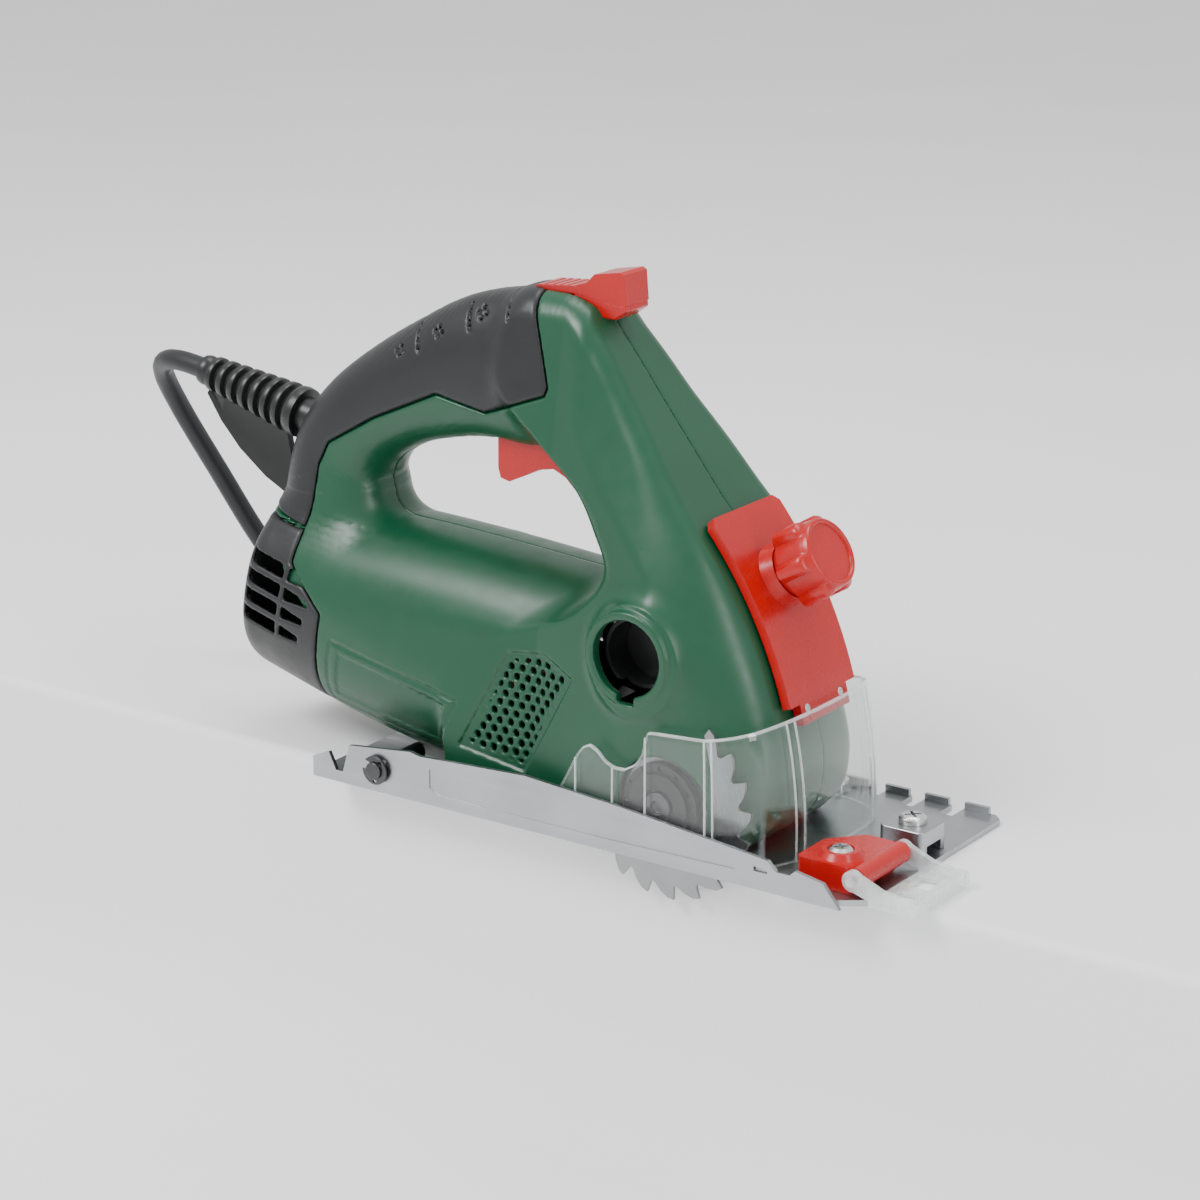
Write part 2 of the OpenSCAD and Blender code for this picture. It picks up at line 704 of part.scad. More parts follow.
// ---------------------------------------------------------------- gear head and blade
module gear_case() {
  color([0.66, 0.67, 0.68]) difference() {
    union() {
      ycyl(axis_x, axis_z, 11.2, -33, 20.5, 64);
      intersection() {
        on_motor(9) cylinder(r = 14, h = 19, $fn = 64);
        translate([-60, -20, 5.8]) cube([120, 40, 60]);
      }
      ycyl(axis_x, axis_z, 11.2, -33, -31, 64);
      side(-33, -30.6) polygon([[12, 6], [49, 6], [50.5, 20], [47, 36], [18, 40], [8, 22]]);
    }
    // bearing seats and the chamber for the gears
    ycyl(axis_x, axis_z, 9.55, -40, -26.2, 64);
    ycyl(axis_x, axis_z, 8, -27, -20, 64);
    ycyl(axis_x, axis_z, 10.1, -22, 6.6, 64);
    ycyl(axis_x, axis_z, 8, 6, 14, 64);
    ycyl(axis_x, axis_z, 9.55, 13.4, 19.6, 64);
    on_motor(0) cylinder(r = 9, h = 21, $fn = 64);
    on_motor(20.8) cylinder(r = 11.05, h = 10, $fn = 64);
  }
}

module spindle() {
  color([0.7, 0.71, 0.73]) difference() {
    union() {
      ycyl(axis_x, axis_z, 4, -36.2, 19.2, 64);
      ycyl(axis_x, axis_z, 5.5, -25.9, -20, 64);
      ycyl(axis_x, axis_z, 5.6, 7.4, 12.9, 64);
    }
    ycyl(axis_x, axis_z, 2, -40, -24, 32);
    // flats for a spanner
    for (a = [0, 180]) translate([axis_x, 10.1, axis_z]) rotate([0, a, 0])
      translate([4.6, -2, -7]) cube([3.2, 4, 14]);
  }
}

// flat outline of a bevel gear's teeth
module teeth(n, root, tip, share, turn) {
  circle(r = root, $fn = 2 * n);
  for (i = [0:n - 1]) rotate([0, 0, turn + 360 * i / n])
    polygon([[0, -root * sin(180 * share / n)],
      [root, -root * sin(180 * share / n)], [tip, -tip * sin(180 * share * 0.62 / n)],
      [tip, tip * sin(180 * share * 0.62 / n)], [root, root * sin(180 * share / n)],
      [0, root * sin(180 * share / n)]]);
}

module bevel_gear() {
  color([0.5, 0.5, 0.52]) difference() {
    union() {
      // toothed face, tapering towards the point where both axes cross
      translate([axis_x, -pinion_r, axis_z]) rotate([-90, 0, 0]) rotate([0, 0, motor_tilt])
        linear_extrude(height = pinion_r * 0.32, scale = 0.68)
          teeth(gear_teeth, gear_r - 1.5, gear_r + 0.6, tooth_share, 0);
      ycyl(axis_x, axis_z, 9.4, -pinion_r - 2.4, -pinion_r + 0.001, 64);
      ycyl(axis_x, axis_z, 7, -14, -pinion_r - 2.3, 64);
    }
    ycyl(axis_x, axis_z, 4.01, -20, 5, 64);
  }
}

module pinion() {
  color([0.5, 0.5, 0.52]) on_motor(gear_r) {
    rotate([180, 0, 0]) linear_extrude(height = gear_r * 0.3, scale = 0.7)
      teeth(pinion_teeth, pinion_r - 1, pinion_r - 0.06, tooth_share,
        90 + 180 / pinion_teeth);
    cylinder(r = 2.4, h = 6, $fn = 40);
  }
}

module spindle_bearing_right() {
  color([0.6, 0.6, 0.62]) translate([axis_x, -26.3, axis_z]) rotate([90, 0, 0])
    bearing(4.03, 9.52, 6);
}

module spindle_bearing_left() {
  color([0.6, 0.6, 0.62]) translate([axis_x, 19.5, axis_z]) rotate([90, 0, 0])
    bearing(4.03, 9.52, 6);
}

module inner_flange() {
  color([0.4, 0.4, 0.42]) difference() {
    union() {
      ycyl(axis_x, axis_z, 12, blade_y + 0.62, blade_y + 3.4, 64);
      ycyl(axis_x, axis_z, 7.45, blade_y - 0.55, blade_y + 1, 64);
      ycyl(axis_x, axis_z, 6, blade_y + 3.3, -32.6, 64);
    }
    ycyl(axis_x, axis_z, 4.02, blade_y + 1.7, 0, 64);
    ycyl(axis_x, axis_z, 2.6, -60, 0, 32);
  }
}

module blade() {
  color([0.6, 0.61, 0.62]) side(blade_y - blade_t / 2, blade_y + blade_t / 2)
    translate([axis_x, axis_z]) difference() {
      polygon([for (i = [0:blade_teeth - 1]) let (a = 360 * i / blade_teeth + 6)
        each [
          [(blade_r - 4.2) * cos(a - 17), (blade_r - 4.2) * sin(a - 17)],
          [(blade_r - 4.8) * cos(a - 15.4), (blade_r - 4.8) * sin(a - 15.4)],
          [(blade_r - 4.4) * cos(a - 13.4), (blade_r - 4.4) * sin(a - 13.4)],
          [(blade_r - 2.2) * cos(a - 9), (blade_r - 2.2) * sin(a - 9)],
          [(blade_r - 0.5) * cos(a - 4), (blade_r - 0.5) * sin(a - 4)],
          [blade_r * cos(a), blade_r * sin(a)]]]);
      circle(r = 7.5, $fn = 64);
      for (a = [45:90:315]) rotate([0, 0, a]) translate([19, 0]) circle(r = 1.6, $fn = 24);
    }
}

module outer_flange() {
  color([0.08, 0.08, 0.09]) difference() {
    union() {
      ycyl(axis_x, axis_z, 14, -41.6, blade_y - 0.62, 72);
      ycyl(axis_x, axis_z, 11, -43, -41.5, 72);
    }
    ycyl(axis_x, axis_z, 7.6, blade_y - 0.62 - 0.6, blade_y, 64);
    ycyl(axis_x, axis_z, 2.55, -60, 0, 32);
    ycyl(axis_x, axis_z, 6, -60, -41.4, 48);
    // grip ribs round the disc
    for (a = [0:30:330]) translate([axis_x, -43, axis_z]) rotate([0, a, 0])
      translate([0, -0.1, 12.6]) rotate([90, 0, 0]) cylinder(r = 0.8, h = 4, center = true,
        $fn = 16);
  }
}

module blade_bolt() {
  color([0.15, 0.15, 0.16]) difference() {
    union() {
      ycyl(axis_x, axis_z, 5, -43.6, -41.42, 48);
      ycyl(axis_x, axis_z, 1.95, -41.5, -25, 32);
    }
    translate([axis_x, -42.2, axis_z]) rotate([90, 0, 0]) cylinder(r = 2.4, h = 3, $fn = 6);
  }
}

// ---------------------------------------------------------------- motor
module armature_shaft() {
  color([0.72, 0.73, 0.75]) {
    on_motor(14.4) cylinder(r = 3, h = 6, $fn = 48);
    on_motor(20.3) cylinder(r = 4, h = 146, $fn = 64);
    on_motor(166.2) cylinder(r = 3, h = 12, $fn = 48);
  }
}

module motor_bearing_front() {
  color([0.6, 0.6, 0.62]) on_motor(21) bearing(4.03, 11.02, 7);
}

module motor_bearing_rear() {
  color([0.6, 0.6, 0.62]) on_motor(171.2) bearing(3.03, 9.5, 6);
}

module cooling_fan() {
  color([0.12, 0.12, 0.12]) on_motor(50) difference() {
    union() {
      cylinder(r = 7, h = 15, $fn = 48);
      translate([0, 0, 13]) cylinder(r = 21.4, h = 2, $fn = 72);
      for (a = [0:30:330]) rotate([0, 0, a]) translate([6, -0.7, 3]) cube([15, 1.4, 10.5]);
    }
    translate([0, 0, -1]) cylinder(r = 4.01, h = 20, $fn = 64);
  }
}

module armature_core() {
  color([0.35, 0.35, 0.37]) on_motor(92) linear_extrude(height = 44) difference() {
    circle(r = 14.2, $fn = 96);
    circle(r = 4.01, $fn = 64);
    for (a = [0:30:330]) rotate([0, 0, a]) translate([10.4, 0]) {
      circle(r = 1.8, $fn = 24);
      translate([0, -0.7]) square([6, 1.4]);
    }
  }
}

module armature_winding() {
  color([0.62, 0.32, 0.12]) {
    for (s = [80.5, 136.1]) on_motor(s) rotate_extrude($fn = 60)
      translate([4.05, 0]) offset(r = 2, $fn = 20) offset(delta = -2) square([9.3, 11.4]);
    for (a = [0:30:330]) on_motor(91.8) rotate([0, 0, a]) translate([10.4, 0, 0])
      cylinder(r = 1.6, h = 44.4, $fn = 16);
  }
}

module commutator() {
  color([0.72, 0.42, 0.2]) on_motor(148.4) linear_extrude(height = 13) difference() {
    circle(r = 10, $fn = 72);
    circle(r = 4.01, $fn = 64);
    for (a = [0:15:345]) rotate([0, 0, a]) translate([8.6, -0.2]) square([3, 0.4]);
  }
}

module stator_core() {
  color([0.4, 0.4, 0.42]) on_motor(94) linear_extrude(height = 40) {
    difference() {
      intersection() {
        circle(r = 23.6, $fn = 96);
        square([47.2, 42], center = true);
      }
      circle(r = 14.7, $fn = 96);
      // winding slots
      for (s = [-1, 1]) for (t = [-1, 1]) rotate([0, 0, 90 + 44 * t + (s > 0 ? 0 : 180)])
        translate([13, -2.4]) square([5.6, 4.8]);
    }
  }
}

module field_coils() {
  color([0.62, 0.32, 0.12]) for (s = [-1, 1]) on_motor(86.6) {
    // one saddle above and one below the armature
    for (z = [2.6, 47.8]) translate([0, 0, z]) linear_extrude(height = 4.4) intersection() {
      difference() {
        circle(r = 20.6, $fn = 72);
        circle(r = 15.6, $fn = 72);
      }
      rotate([0, 0, s > 0 ? 0 : 180]) polygon([[0, 0], [30, -26], [30, 26]]);
    }
    for (t = [-1, 1]) rotate([0, 0, 90 + 44 * t + (s > 0 ? 0 : 180)])
      translate([15.2, -1.9, 6.9]) cube([2.9, 3.8, 41]);
  }
}

module brush_holders() {
  color([0.75, 0.6, 0.25]) for (s = [-1, 1]) on_motor(155) difference() {
    translate([-4.4, s > 0 ? 12 : -26, -5]) cube([8.8, 14, 10]);
    translate([-3.1, s > 0 ? 5 : -25, -4]) cube([6.2, 20, 8]);
  }
}

module carbon_brushes() {
  color([0.15, 0.15, 0.15]) for (s = [-1, 1]) on_motor(155)
    translate([-3, s > 0 ? 10.1 : -20.1, -3.9]) cube([6, 10, 7.8]);
}

// ---------------------------------------------------------------- handle
module switch_body() {
  color([0.12, 0.12, 0.13]) difference() {
    union() {
      translate([-66, -9, 124.4]) cube([38, 18, 22]);
      for (y = [-9, 7.5]) translate([-31, y, 114.6]) cube([6.6, 1.5, 12]);
    }
    ycyl(-27.6, 117.6, 1.52, -20, 20, 32);
    translate([-60, -10, 142]) cube([8, 20, 5]);
    translate([-50, -3, 120]) cube([6, 6, 12]);
  }
}

module trigger() {
  color([0.8, 0.08, 0.06]) difference() {
    side(-7, 7) polygon([[-54.5, 118.6], [-54.6, 107], [-53.6, 103.6], [-50, 102.8],
      [-44, 105.6], [-38, 108.6], [-32, 109.8], [-27, 107.6], [-23.6, 104.4],
      [-23, 106], [-23, 118.6], [-26, 121.8], [-34, 119.4]]);
    ycyl(-27.6, 117.6, 1.55, -20, 20, 32);
    translate([-47, 0, 114.4]) cylinder(r = 3, h = 10, $fn = 32);
  }
}

module trigger_pin() {
  color([0.6, 0.6, 0.62]) ycyl(-27.6, 117.6, 1.5, -9.4, 9.4, 32);
}

module trigger_spring() {
  color([0.5, 0.5, 0.52]) translate([-47, 0, 114.9]) coil_wire(2.1, 0.35, 8.9, 5, 12, 5);
}

module lock_slider() {
  color([0.8, 0.08, 0.06]) difference() {
    union() {
      // thumb block over a ribbed tongue
      side(-6.4, 6.4) polygon([[-40, 169.4], [-38, 169.2], [-24, 169.2], [-6, 167],
        [-3.4, 167.6], [-4.2, 177.4], [-5.6, 178.2], [-16, 176.4], [-19, 173.4],
        [-24, 171.8], [-38, 170.8]]);
      translate([-29, -5.9, 160]) cube([12, 11.8, 9.6]);
    }
    for (k = [0:4]) translate([-36 + 3 * k, -7, 170.7 + 0.22 * k]) cube([1, 14, 3]);
  }
}

module capacitor() {
  color([0.75, 0.6, 0.15]) translate([-100, -6, 120]) rotate([0, -24, 0])
    cube([16, 12, 7]);
}

module cord_clamp() {
  color([0.12, 0.12, 0.12]) difference() {
    translate([-124.6, -9, 101]) rotate([0, -10, 0]) cube([8, 18, 4]);
    for (y = [-6.4, 6.4]) translate([-121.1, y, 90]) cylinder(r = 1.4, h = 30, $fn = 24);
  }
}

// ---------------------------------------------------------------- cord
module bend_relief() {
  color([0.12, 0.12, 0.13]) translate([-146, 0, 112]) rotate([0, -78, 0]) difference() {
    union() {
      cylinder(r1 = 7.6, r2 = 5.2, h = 44, $fn = 48);
      for (k = [0:6]) translate([0, 0, 5 + 5.6 * k])
        cylinder(r1 = 8.6 - 0.38 * k, r2 = 7.9 - 0.38 * k, h = 2.9, $fn = 48);
      translate([0, 0, -12]) cylinder(r = 6.1, h = 14, $fn = 48);
      translate([0, 0, -3]) cylinder(r = 9, h = 4.5, $fn = 48);
    }
    translate([0, 0, -20]) cylinder(r = cord_d / 2 + 0.35, h = 80, $fn = 40);
  }
}

lead_route = [[-126, 0, 107.7], [-140, 0, 110.7], [-165, 0, 116], [-190, 0, 121.3],
  [-207, 2, 122], [-219, 10, 115], [-222, 22, 98], [-215, 34, 72], [-202, 43, 44],
  [-182, 49, 20], [-160, 53, 7], [-137, 55.4, 4], [-116, 56.8, 3.8], [-100, 57.4, 3.8]];

module cord_lead() {
  color([0.16, 0.17, 0.18]) tube(spline(lead_route, 5), cord_d / 2, 10);
}

module cord_coil() {
  color([0.16, 0.17, 0.18]) translate([coil_at[0], coil_at[1], 0])
    rotate_extrude($fn = 72) translate([coil_r - 1.5 * cord_d, 0.02])
      offset(r = 3.4, $fn = 24) offset(delta = -3.4) square([3 * cord_d, 2.74 * cord_d]);
}

module cord_tie() {
  color([0.1, 0.1, 0.1]) translate([coil_at[0] + coil_r, coil_at[1], 0]) difference() {
    translate([-13, -3, 0.02]) cube([26, 6, 22.4]);
    translate([-11.5, -4, -1]) cube([23, 8, 21.7]);
  }
}

tail_route = [[-135, 133.6, 13.6], [-142, 126.4, 9.8], [-149, 121.6, 8.4],
  [-156, 118.6, 9.4], [-162, 117.4, 11], [-170, 117, 12.6]];

module cord_tail() {
  color([0.16, 0.17, 0.18]) tube(spline(tail_route, 4), cord_d / 2, 10);
}

module plug_body() {
  color([0.1, 0.1, 0.11]) translate([plug_at[0] + 196, plug_at[1], 13]) difference() {
    union() {
      rotate([0, -90, 0]) translate([0, 0, 196]) linear_extrude(height = 28, scale = [1.06, 1.1])
        offset(r = 9, $fn = 40) offset(delta = -9) square([24, 33], center = true);
      translate([-196.1, 0, 0]) rotate([0, 90, 0]) cylinder(r1 = 10, r2 = 6, h = 14, $fn = 48);
      for (k = [0:2]) translate([-194 + 4 * k, 0, 0]) rotate([0, 90, 0])
        cylinder(r = 9.6 - 0.7 * k, h = 1.8, $fn = 40);
    }
    translate([-187, 0, -0.4]) rotate([0, 90, 0]) cylinder(r = cord_d / 2 + 0.4, h = 20,
      $fn = 40);
  }
}

module plug_pins() {
  color([0.75, 0.72, 0.6]) for (s = [-1, 1]) translate([plug_at[0] - 28.05,
    plug_at[1] + 9.5 * s, 13])
    rotate([0, -90, 0]) {
      cylinder(r = 2.4, h = 17.5, $fn = 32);
      translate([0, 0, 17.4]) cylinder(r1 = 2.4, r2 = 1.6, h = 1.6, $fn = 32);
    }
}

base_plate();
blade_guard();
guard_screws();
depth_guide();
guide_rivets();
pivot_pin_right();
pivot_pin_left();
pivot_clips();
guide_bracket();
guide_screw();
indicator_mount();
indicator_screw();
cut_indicator();
depth_knob();
knob_bolt();
knob_clamp_plate();
plunge_spring();
housing_right();
housing_left();
handle_grip();
rear_vent_cap();
chip_duct();
housing_screws();
gear_case();
spindle();
bevel_gear();
spindle_bearing_right();
spindle_bearing_left();
inner_flange();
blade();
outer_flange();
blade_bolt();
armature_shaft();
pinion();
motor_bearing_front();
motor_bearing_rear();
cooling_fan();
armature_core();
armature_winding();
commutator();
stator_core();
field_coils();
brush_holders();
carbon_brushes();
switch_body();
trigger();
trigger_pin();
trigger_spring();
lock_slider();
capacitor();
cord_clamp();
bend_relief();
cord_lead();
cord_coil();
cord_tie();
cord_tail();
plug_body();
plug_pins();
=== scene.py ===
"""Looks of a mini plunge saw: moulded shells, clear guard, pressed base, materials and studio."""
import json
import math

import bmesh
import bpy
import numpy as np
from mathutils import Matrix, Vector

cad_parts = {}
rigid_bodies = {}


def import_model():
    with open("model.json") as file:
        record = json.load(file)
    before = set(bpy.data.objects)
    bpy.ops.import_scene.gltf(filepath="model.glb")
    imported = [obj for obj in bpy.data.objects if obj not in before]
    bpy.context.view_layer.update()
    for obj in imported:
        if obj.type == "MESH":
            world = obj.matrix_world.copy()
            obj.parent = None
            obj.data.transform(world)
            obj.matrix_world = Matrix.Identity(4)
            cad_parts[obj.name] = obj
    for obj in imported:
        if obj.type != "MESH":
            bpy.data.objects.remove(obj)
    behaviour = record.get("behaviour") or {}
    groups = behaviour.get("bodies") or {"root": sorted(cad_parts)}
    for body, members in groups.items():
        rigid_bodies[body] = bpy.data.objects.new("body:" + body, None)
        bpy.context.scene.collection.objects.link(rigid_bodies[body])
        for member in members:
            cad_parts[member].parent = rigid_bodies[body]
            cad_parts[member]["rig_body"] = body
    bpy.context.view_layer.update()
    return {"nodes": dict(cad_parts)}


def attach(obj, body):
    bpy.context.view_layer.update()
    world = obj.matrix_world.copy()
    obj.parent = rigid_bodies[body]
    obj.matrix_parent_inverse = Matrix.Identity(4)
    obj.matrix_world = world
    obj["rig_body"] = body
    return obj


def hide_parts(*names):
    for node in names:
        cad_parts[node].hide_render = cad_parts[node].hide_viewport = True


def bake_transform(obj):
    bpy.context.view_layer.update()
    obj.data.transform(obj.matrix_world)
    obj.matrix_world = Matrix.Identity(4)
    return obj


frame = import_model()
NODES = frame["nodes"]
MM = 0.001

# ------------------------------------------------------------------ camera
CAMERA_YAW = math.radians(34.962)
CAMERA_PITCH = math.radians(17.23)
CAMERA_DISTANCE = 1.0607
CAMERA_TARGET = Vector((-18.167, 0, 65.563)) * MM


def place(name, data):
    """A new object in the scene."""
    obj = bpy.data.objects.new(name, data)
    bpy.context.scene.collection.objects.link(obj)
    return obj


def make_camera():
    data = bpy.data.cameras.new("camera")
    data.lens = 96
    data.sensor_width = 36
    data.clip_start = 0.05
    cam = place("camera", data)
    back = Vector((math.sin(CAMERA_YAW) * math.cos(CAMERA_PITCH),
                   -math.cos(CAMERA_YAW) * math.cos(CAMERA_PITCH),
                   math.sin(CAMERA_PITCH)))
    cam.location = CAMERA_TARGET + back * CAMERA_DISTANCE
    cam.rotation_mode = "QUATERNION"
    cam.rotation_quaternion = (-back).to_track_quat("-Z", "Y")
    bpy.context.scene.camera = cam


make_camera()


# ------------------------------------------------------------------ material nodes
class Nodes:
    """A few short words for building one material's nodes."""

    def __init__(self, name):
        self.mat = bpy.data.materials.new(name)
        self.mat.use_nodes = True
        self.tree = self.mat.node_tree
        self.tree.nodes.clear()
        self.out = self.add("ShaderNodeOutputMaterial")
        self.coord = self.add("ShaderNodeTexCoord").outputs["Object"]

    def add(self, kind, inputs=(), **settings):
        node = self.tree.nodes.new(kind)
        for key, value in settings.items():
            setattr(node, key, value)
        for key, value in dict(inputs).items():
            node.inputs[key].default_value = value
        return node

    def link(self, a, b):
        self.tree.links.new(a, b)

    def scaled(self, sx, sy, sz):
        node = self.add("ShaderNodeMapping", {"Scale": (sx, sy, sz)})
        self.link(self.coord, node.inputs["Vector"])
        return node.outputs["Vector"]

    def noise(self, scale, detail=3.0, vector=None, rough=0.5):
        node = self.add("ShaderNodeTexNoise", {"Scale": scale, "Detail": detail, "Roughness": rough})
        self.link(vector or self.coord, node.inputs["Vector"])
        return node.outputs["Fac"]

    def ranged(self, value, low, high, from_low=0.3, from_high=0.7):
        node = self.add("ShaderNodeMapRange", {"From Min": from_low, "From Max": from_high,
                                               "To Min": low, "To Max": high})
        self.link(value, node.inputs["Value"])
        return node.outputs["Result"]

    def between(self, value, dark, light):
        node = self.add("ShaderNodeValToRGB")
        node.color_ramp.elements[0].position = 0.3
        node.color_ramp.elements[1].position = 0.7
        node.color_ramp.elements[0].color = (*dark, 1)
        node.color_ramp.elements[1].color = (*light, 1)
        self.link(value, node.inputs["Fac"])
        return node.outputs["Color"]

    def bump(self, height, depth_mm, strength=1.0, onto=None):
        node = self.add("ShaderNodeBump", {"Strength": strength, "Distance": depth_mm * MM})
        self.link(height, node.inputs["Height"])
        if onto is not None:
            self.link(onto, node.inputs["Normal"])
        return node.outputs["Normal"]

    def principled(self, metallic=0.0, specular=0.5, coat=0.0, coat_rough=0.1, sheen=0.0):
        node = self.add("ShaderNodeBsdfPrincipled",
                        {"Metallic": metallic, "Specular IOR Level": specular, "Coat Weight": coat,
                         "Coat Roughness": coat_rough, "Sheen Weight": sheen})
        self.link(node.outputs["BSDF"], self.out.inputs["Surface"])
        return node


def shade(colour, k):
    return tuple(min(1.0, max(0.0, c * k)) for c in colour)


def moulded(name, colour, rough, grain=0.02, pitch=1500, vary=0.08, specular=0.5, coat=0.0,
            sheen=0.0):
    """Moulded plastic or rubber: faint tone drift, spark-eroded grain, uneven gloss."""
    n = Nodes(name)
    p = n.principled(0.0, specular, coat, 0.15, sheen)
    drift = n.noise(28, 4)
    n.link(n.between(drift, shade(colour, 1 - vary), shade(colour, 1 + vary)),
           p.inputs["Base Color"])
    n.link(n.ranged(n.noise(160, 3), rough - 0.04, rough + 0.05), p.inputs["Roughness"])
    fine = n.bump(n.noise(pitch, 2), grain, 0.5)
    n.link(n.bump(n.noise(90, 1), 0.03, 0.25, fine), p.inputs["Normal"])
    return n.mat


def metal(name, colour, rough, streak=(8, 900, 900), depth=0.01, vary=0.07, metallic=1.0):
    """Metal with fine directional streaks and slow stains."""
    n = Nodes(name)
    p = n.principled(metallic)
    lines = n.noise(1.0, 3, n.scaled(*streak))
    stain = n.noise(35, 4)
    n.link(n.between(stain, shade(colour, 1 - vary), shade(colour, 1 + vary)),
           p.inputs["Base Color"])
    n.link(n.ranged(lines, rough - 0.06, rough + 0.08), p.inputs["Roughness"])
    n.link(n.bump(lines, depth, 0.6, n.bump(stain, 0.02, 0.3)), p.inputs["Normal"])
    return n.mat


def turned(name, colour, rough, centre, axis, pitch=2600, depth=0.006):
    """Metal ground or turned about an axis: fine rings round it."""
    n = Nodes(name)
    p = n.principled(1.0)
    to_axis = n.add("ShaderNodeVectorMath", {1: centre}, operation="SUBTRACT")
    n.link(n.coord, to_axis.inputs[0])
    across = n.add("ShaderNodeVectorMath", {1: axis}, operation="CROSS_PRODUCT")
    n.link(to_axis.outputs[0], across.inputs[0])
    radius = n.add("ShaderNodeVectorMath", operation="LENGTH")
    n.link(across.outputs[0], radius.inputs[0])
    spread = n.add("ShaderNodeCombineXYZ")
    n.link(radius.outputs["Value"], spread.inputs[0])
    rings = n.noise(pitch, 2, spread.outputs[0])
    stain = n.noise(60, 4)
    n.link(n.between(stain, shade(colour, 0.92), shade(colour, 1.06)), p.inputs["Base Color"])
    n.link(n.ranged(rings, rough - 0.06, rough + 0.1), p.inputs["Roughness"])
    n.link(n.bump(rings, depth, 0.8), p.inputs["Normal"])
    return n.mat


def cast(name, colour, rough):
    """As-cast alloy: pebbly skin."""
    n = Nodes(name)
    p = n.principled(1.0)
    pebble = n.noise(900, 4, rough=0.65)
    n.link(n.between(n.noise(50, 4), shade(colour, 0.85), shade(colour, 1.1)),
           p.inputs["Base Color"])
    n.link(n.ranged(pebble, rough - 0.08, rough + 0.12), p.inputs["Roughness"])
    n.link(n.bump(pebble, 0.06, 0.6), p.inputs["Normal"])
    return n.mat


def layered(name, colour, rough, direction, pitch, metallic=1.0, depth=0.1):
    """Laminated or wound metal: fine bands along one direction."""
    n = Nodes(name)
    p = n.principled(metallic)
    along = n.add("ShaderNodeVectorMath", {1: direction}, operation="DOT_PRODUCT")
    n.link(n.coord, along.inputs[0])
    count = n.add("ShaderNodeMath", {1: 2 * math.pi / (pitch * MM)}, operation="MULTIPLY")
    n.link(along.outputs["Value"], count.inputs[0])
    wave = n.add("ShaderNodeMath", operation="SINE")
    n.link(count.outputs[0], wave.inputs[0])
    n.link(n.between(n.noise(120, 3), shade(colour, 0.8), shade(colour, 1.15)),
           p.inputs["Base Color"])
    n.link(n.ranged(n.noise(300, 2), rough - 0.05, rough + 0.1), p.inputs["Roughness"])
    n.link(n.bump(n.ranged(wave.outputs[0], 0, 1, -1, 1), depth, 0.8), p.inputs["Normal"])
    return n.mat


def clear(name, tint, through=0.94, gloss_rough=0.03, haze=0.0):
    """Clear moulded sheet: lets light through, with reflections that rise at a slant."""
    n = Nodes(name)
    see = n.add("ShaderNodeBsdfTransparent", {"Color": (*tint, 1)})
    gloss = n.add("ShaderNodeBsdfGlossy", {"Color": (1, 1, 1, 1)})
    waves = n.noise(14, 2)
    n.link(n.ranged(n.noise(70, 3), gloss_rough, gloss_rough + 0.05), gloss.inputs["Roughness"])
    n.link(n.bump(waves, 0.6, 0.12), gloss.inputs["Normal"])
    edge = n.add("ShaderNodeLayerWeight", {"Blend": 0.5})
    steep = n.add("ShaderNodeMath", {1: 4}, operation="POWER")
    n.link(edge.outputs["Facing"], steep.inputs[0])
    amount = n.ranged(steep.outputs[0], 1 - through, 0.9, 0.0, 1.0)
    both = n.add("ShaderNodeMixShader")
    n.link(amount, both.inputs[0])
    n.link(see.outputs[0], both.inputs[1])
    n.link(gloss.outputs[0], both.inputs[2])
    if haze:
        milk = n.add("ShaderNodeBsdfPrincipled",
                     {"Base Color": (0.9, 0.93, 0.93, 1), "Roughness": 0.25})
        more = n.add("ShaderNodeMixShader")
        n.link(n.ranged(n.noise(300, 3), haze * 0.8, haze * 1.2), more.inputs[0])
        n.link(both.outputs[0], more.inputs[1])
        n.link(milk.outputs[0], more.inputs[2])
        both = more
    n.link(both.outputs[0], n.out.inputs["Surface"])
    return n.mat


BLADE_AT = (34, 17)
AXIS_AT = Vector((BLADE_AT[0], 0, BLADE_AT[1])) * MM
TILT = math.radians(11)
MOTOR_BACK = Vector((-math.cos(TILT), 0, math.sin(TILT)))
MOTOR_UP = Vector((math.sin(TILT), 0, math.cos(TILT)))

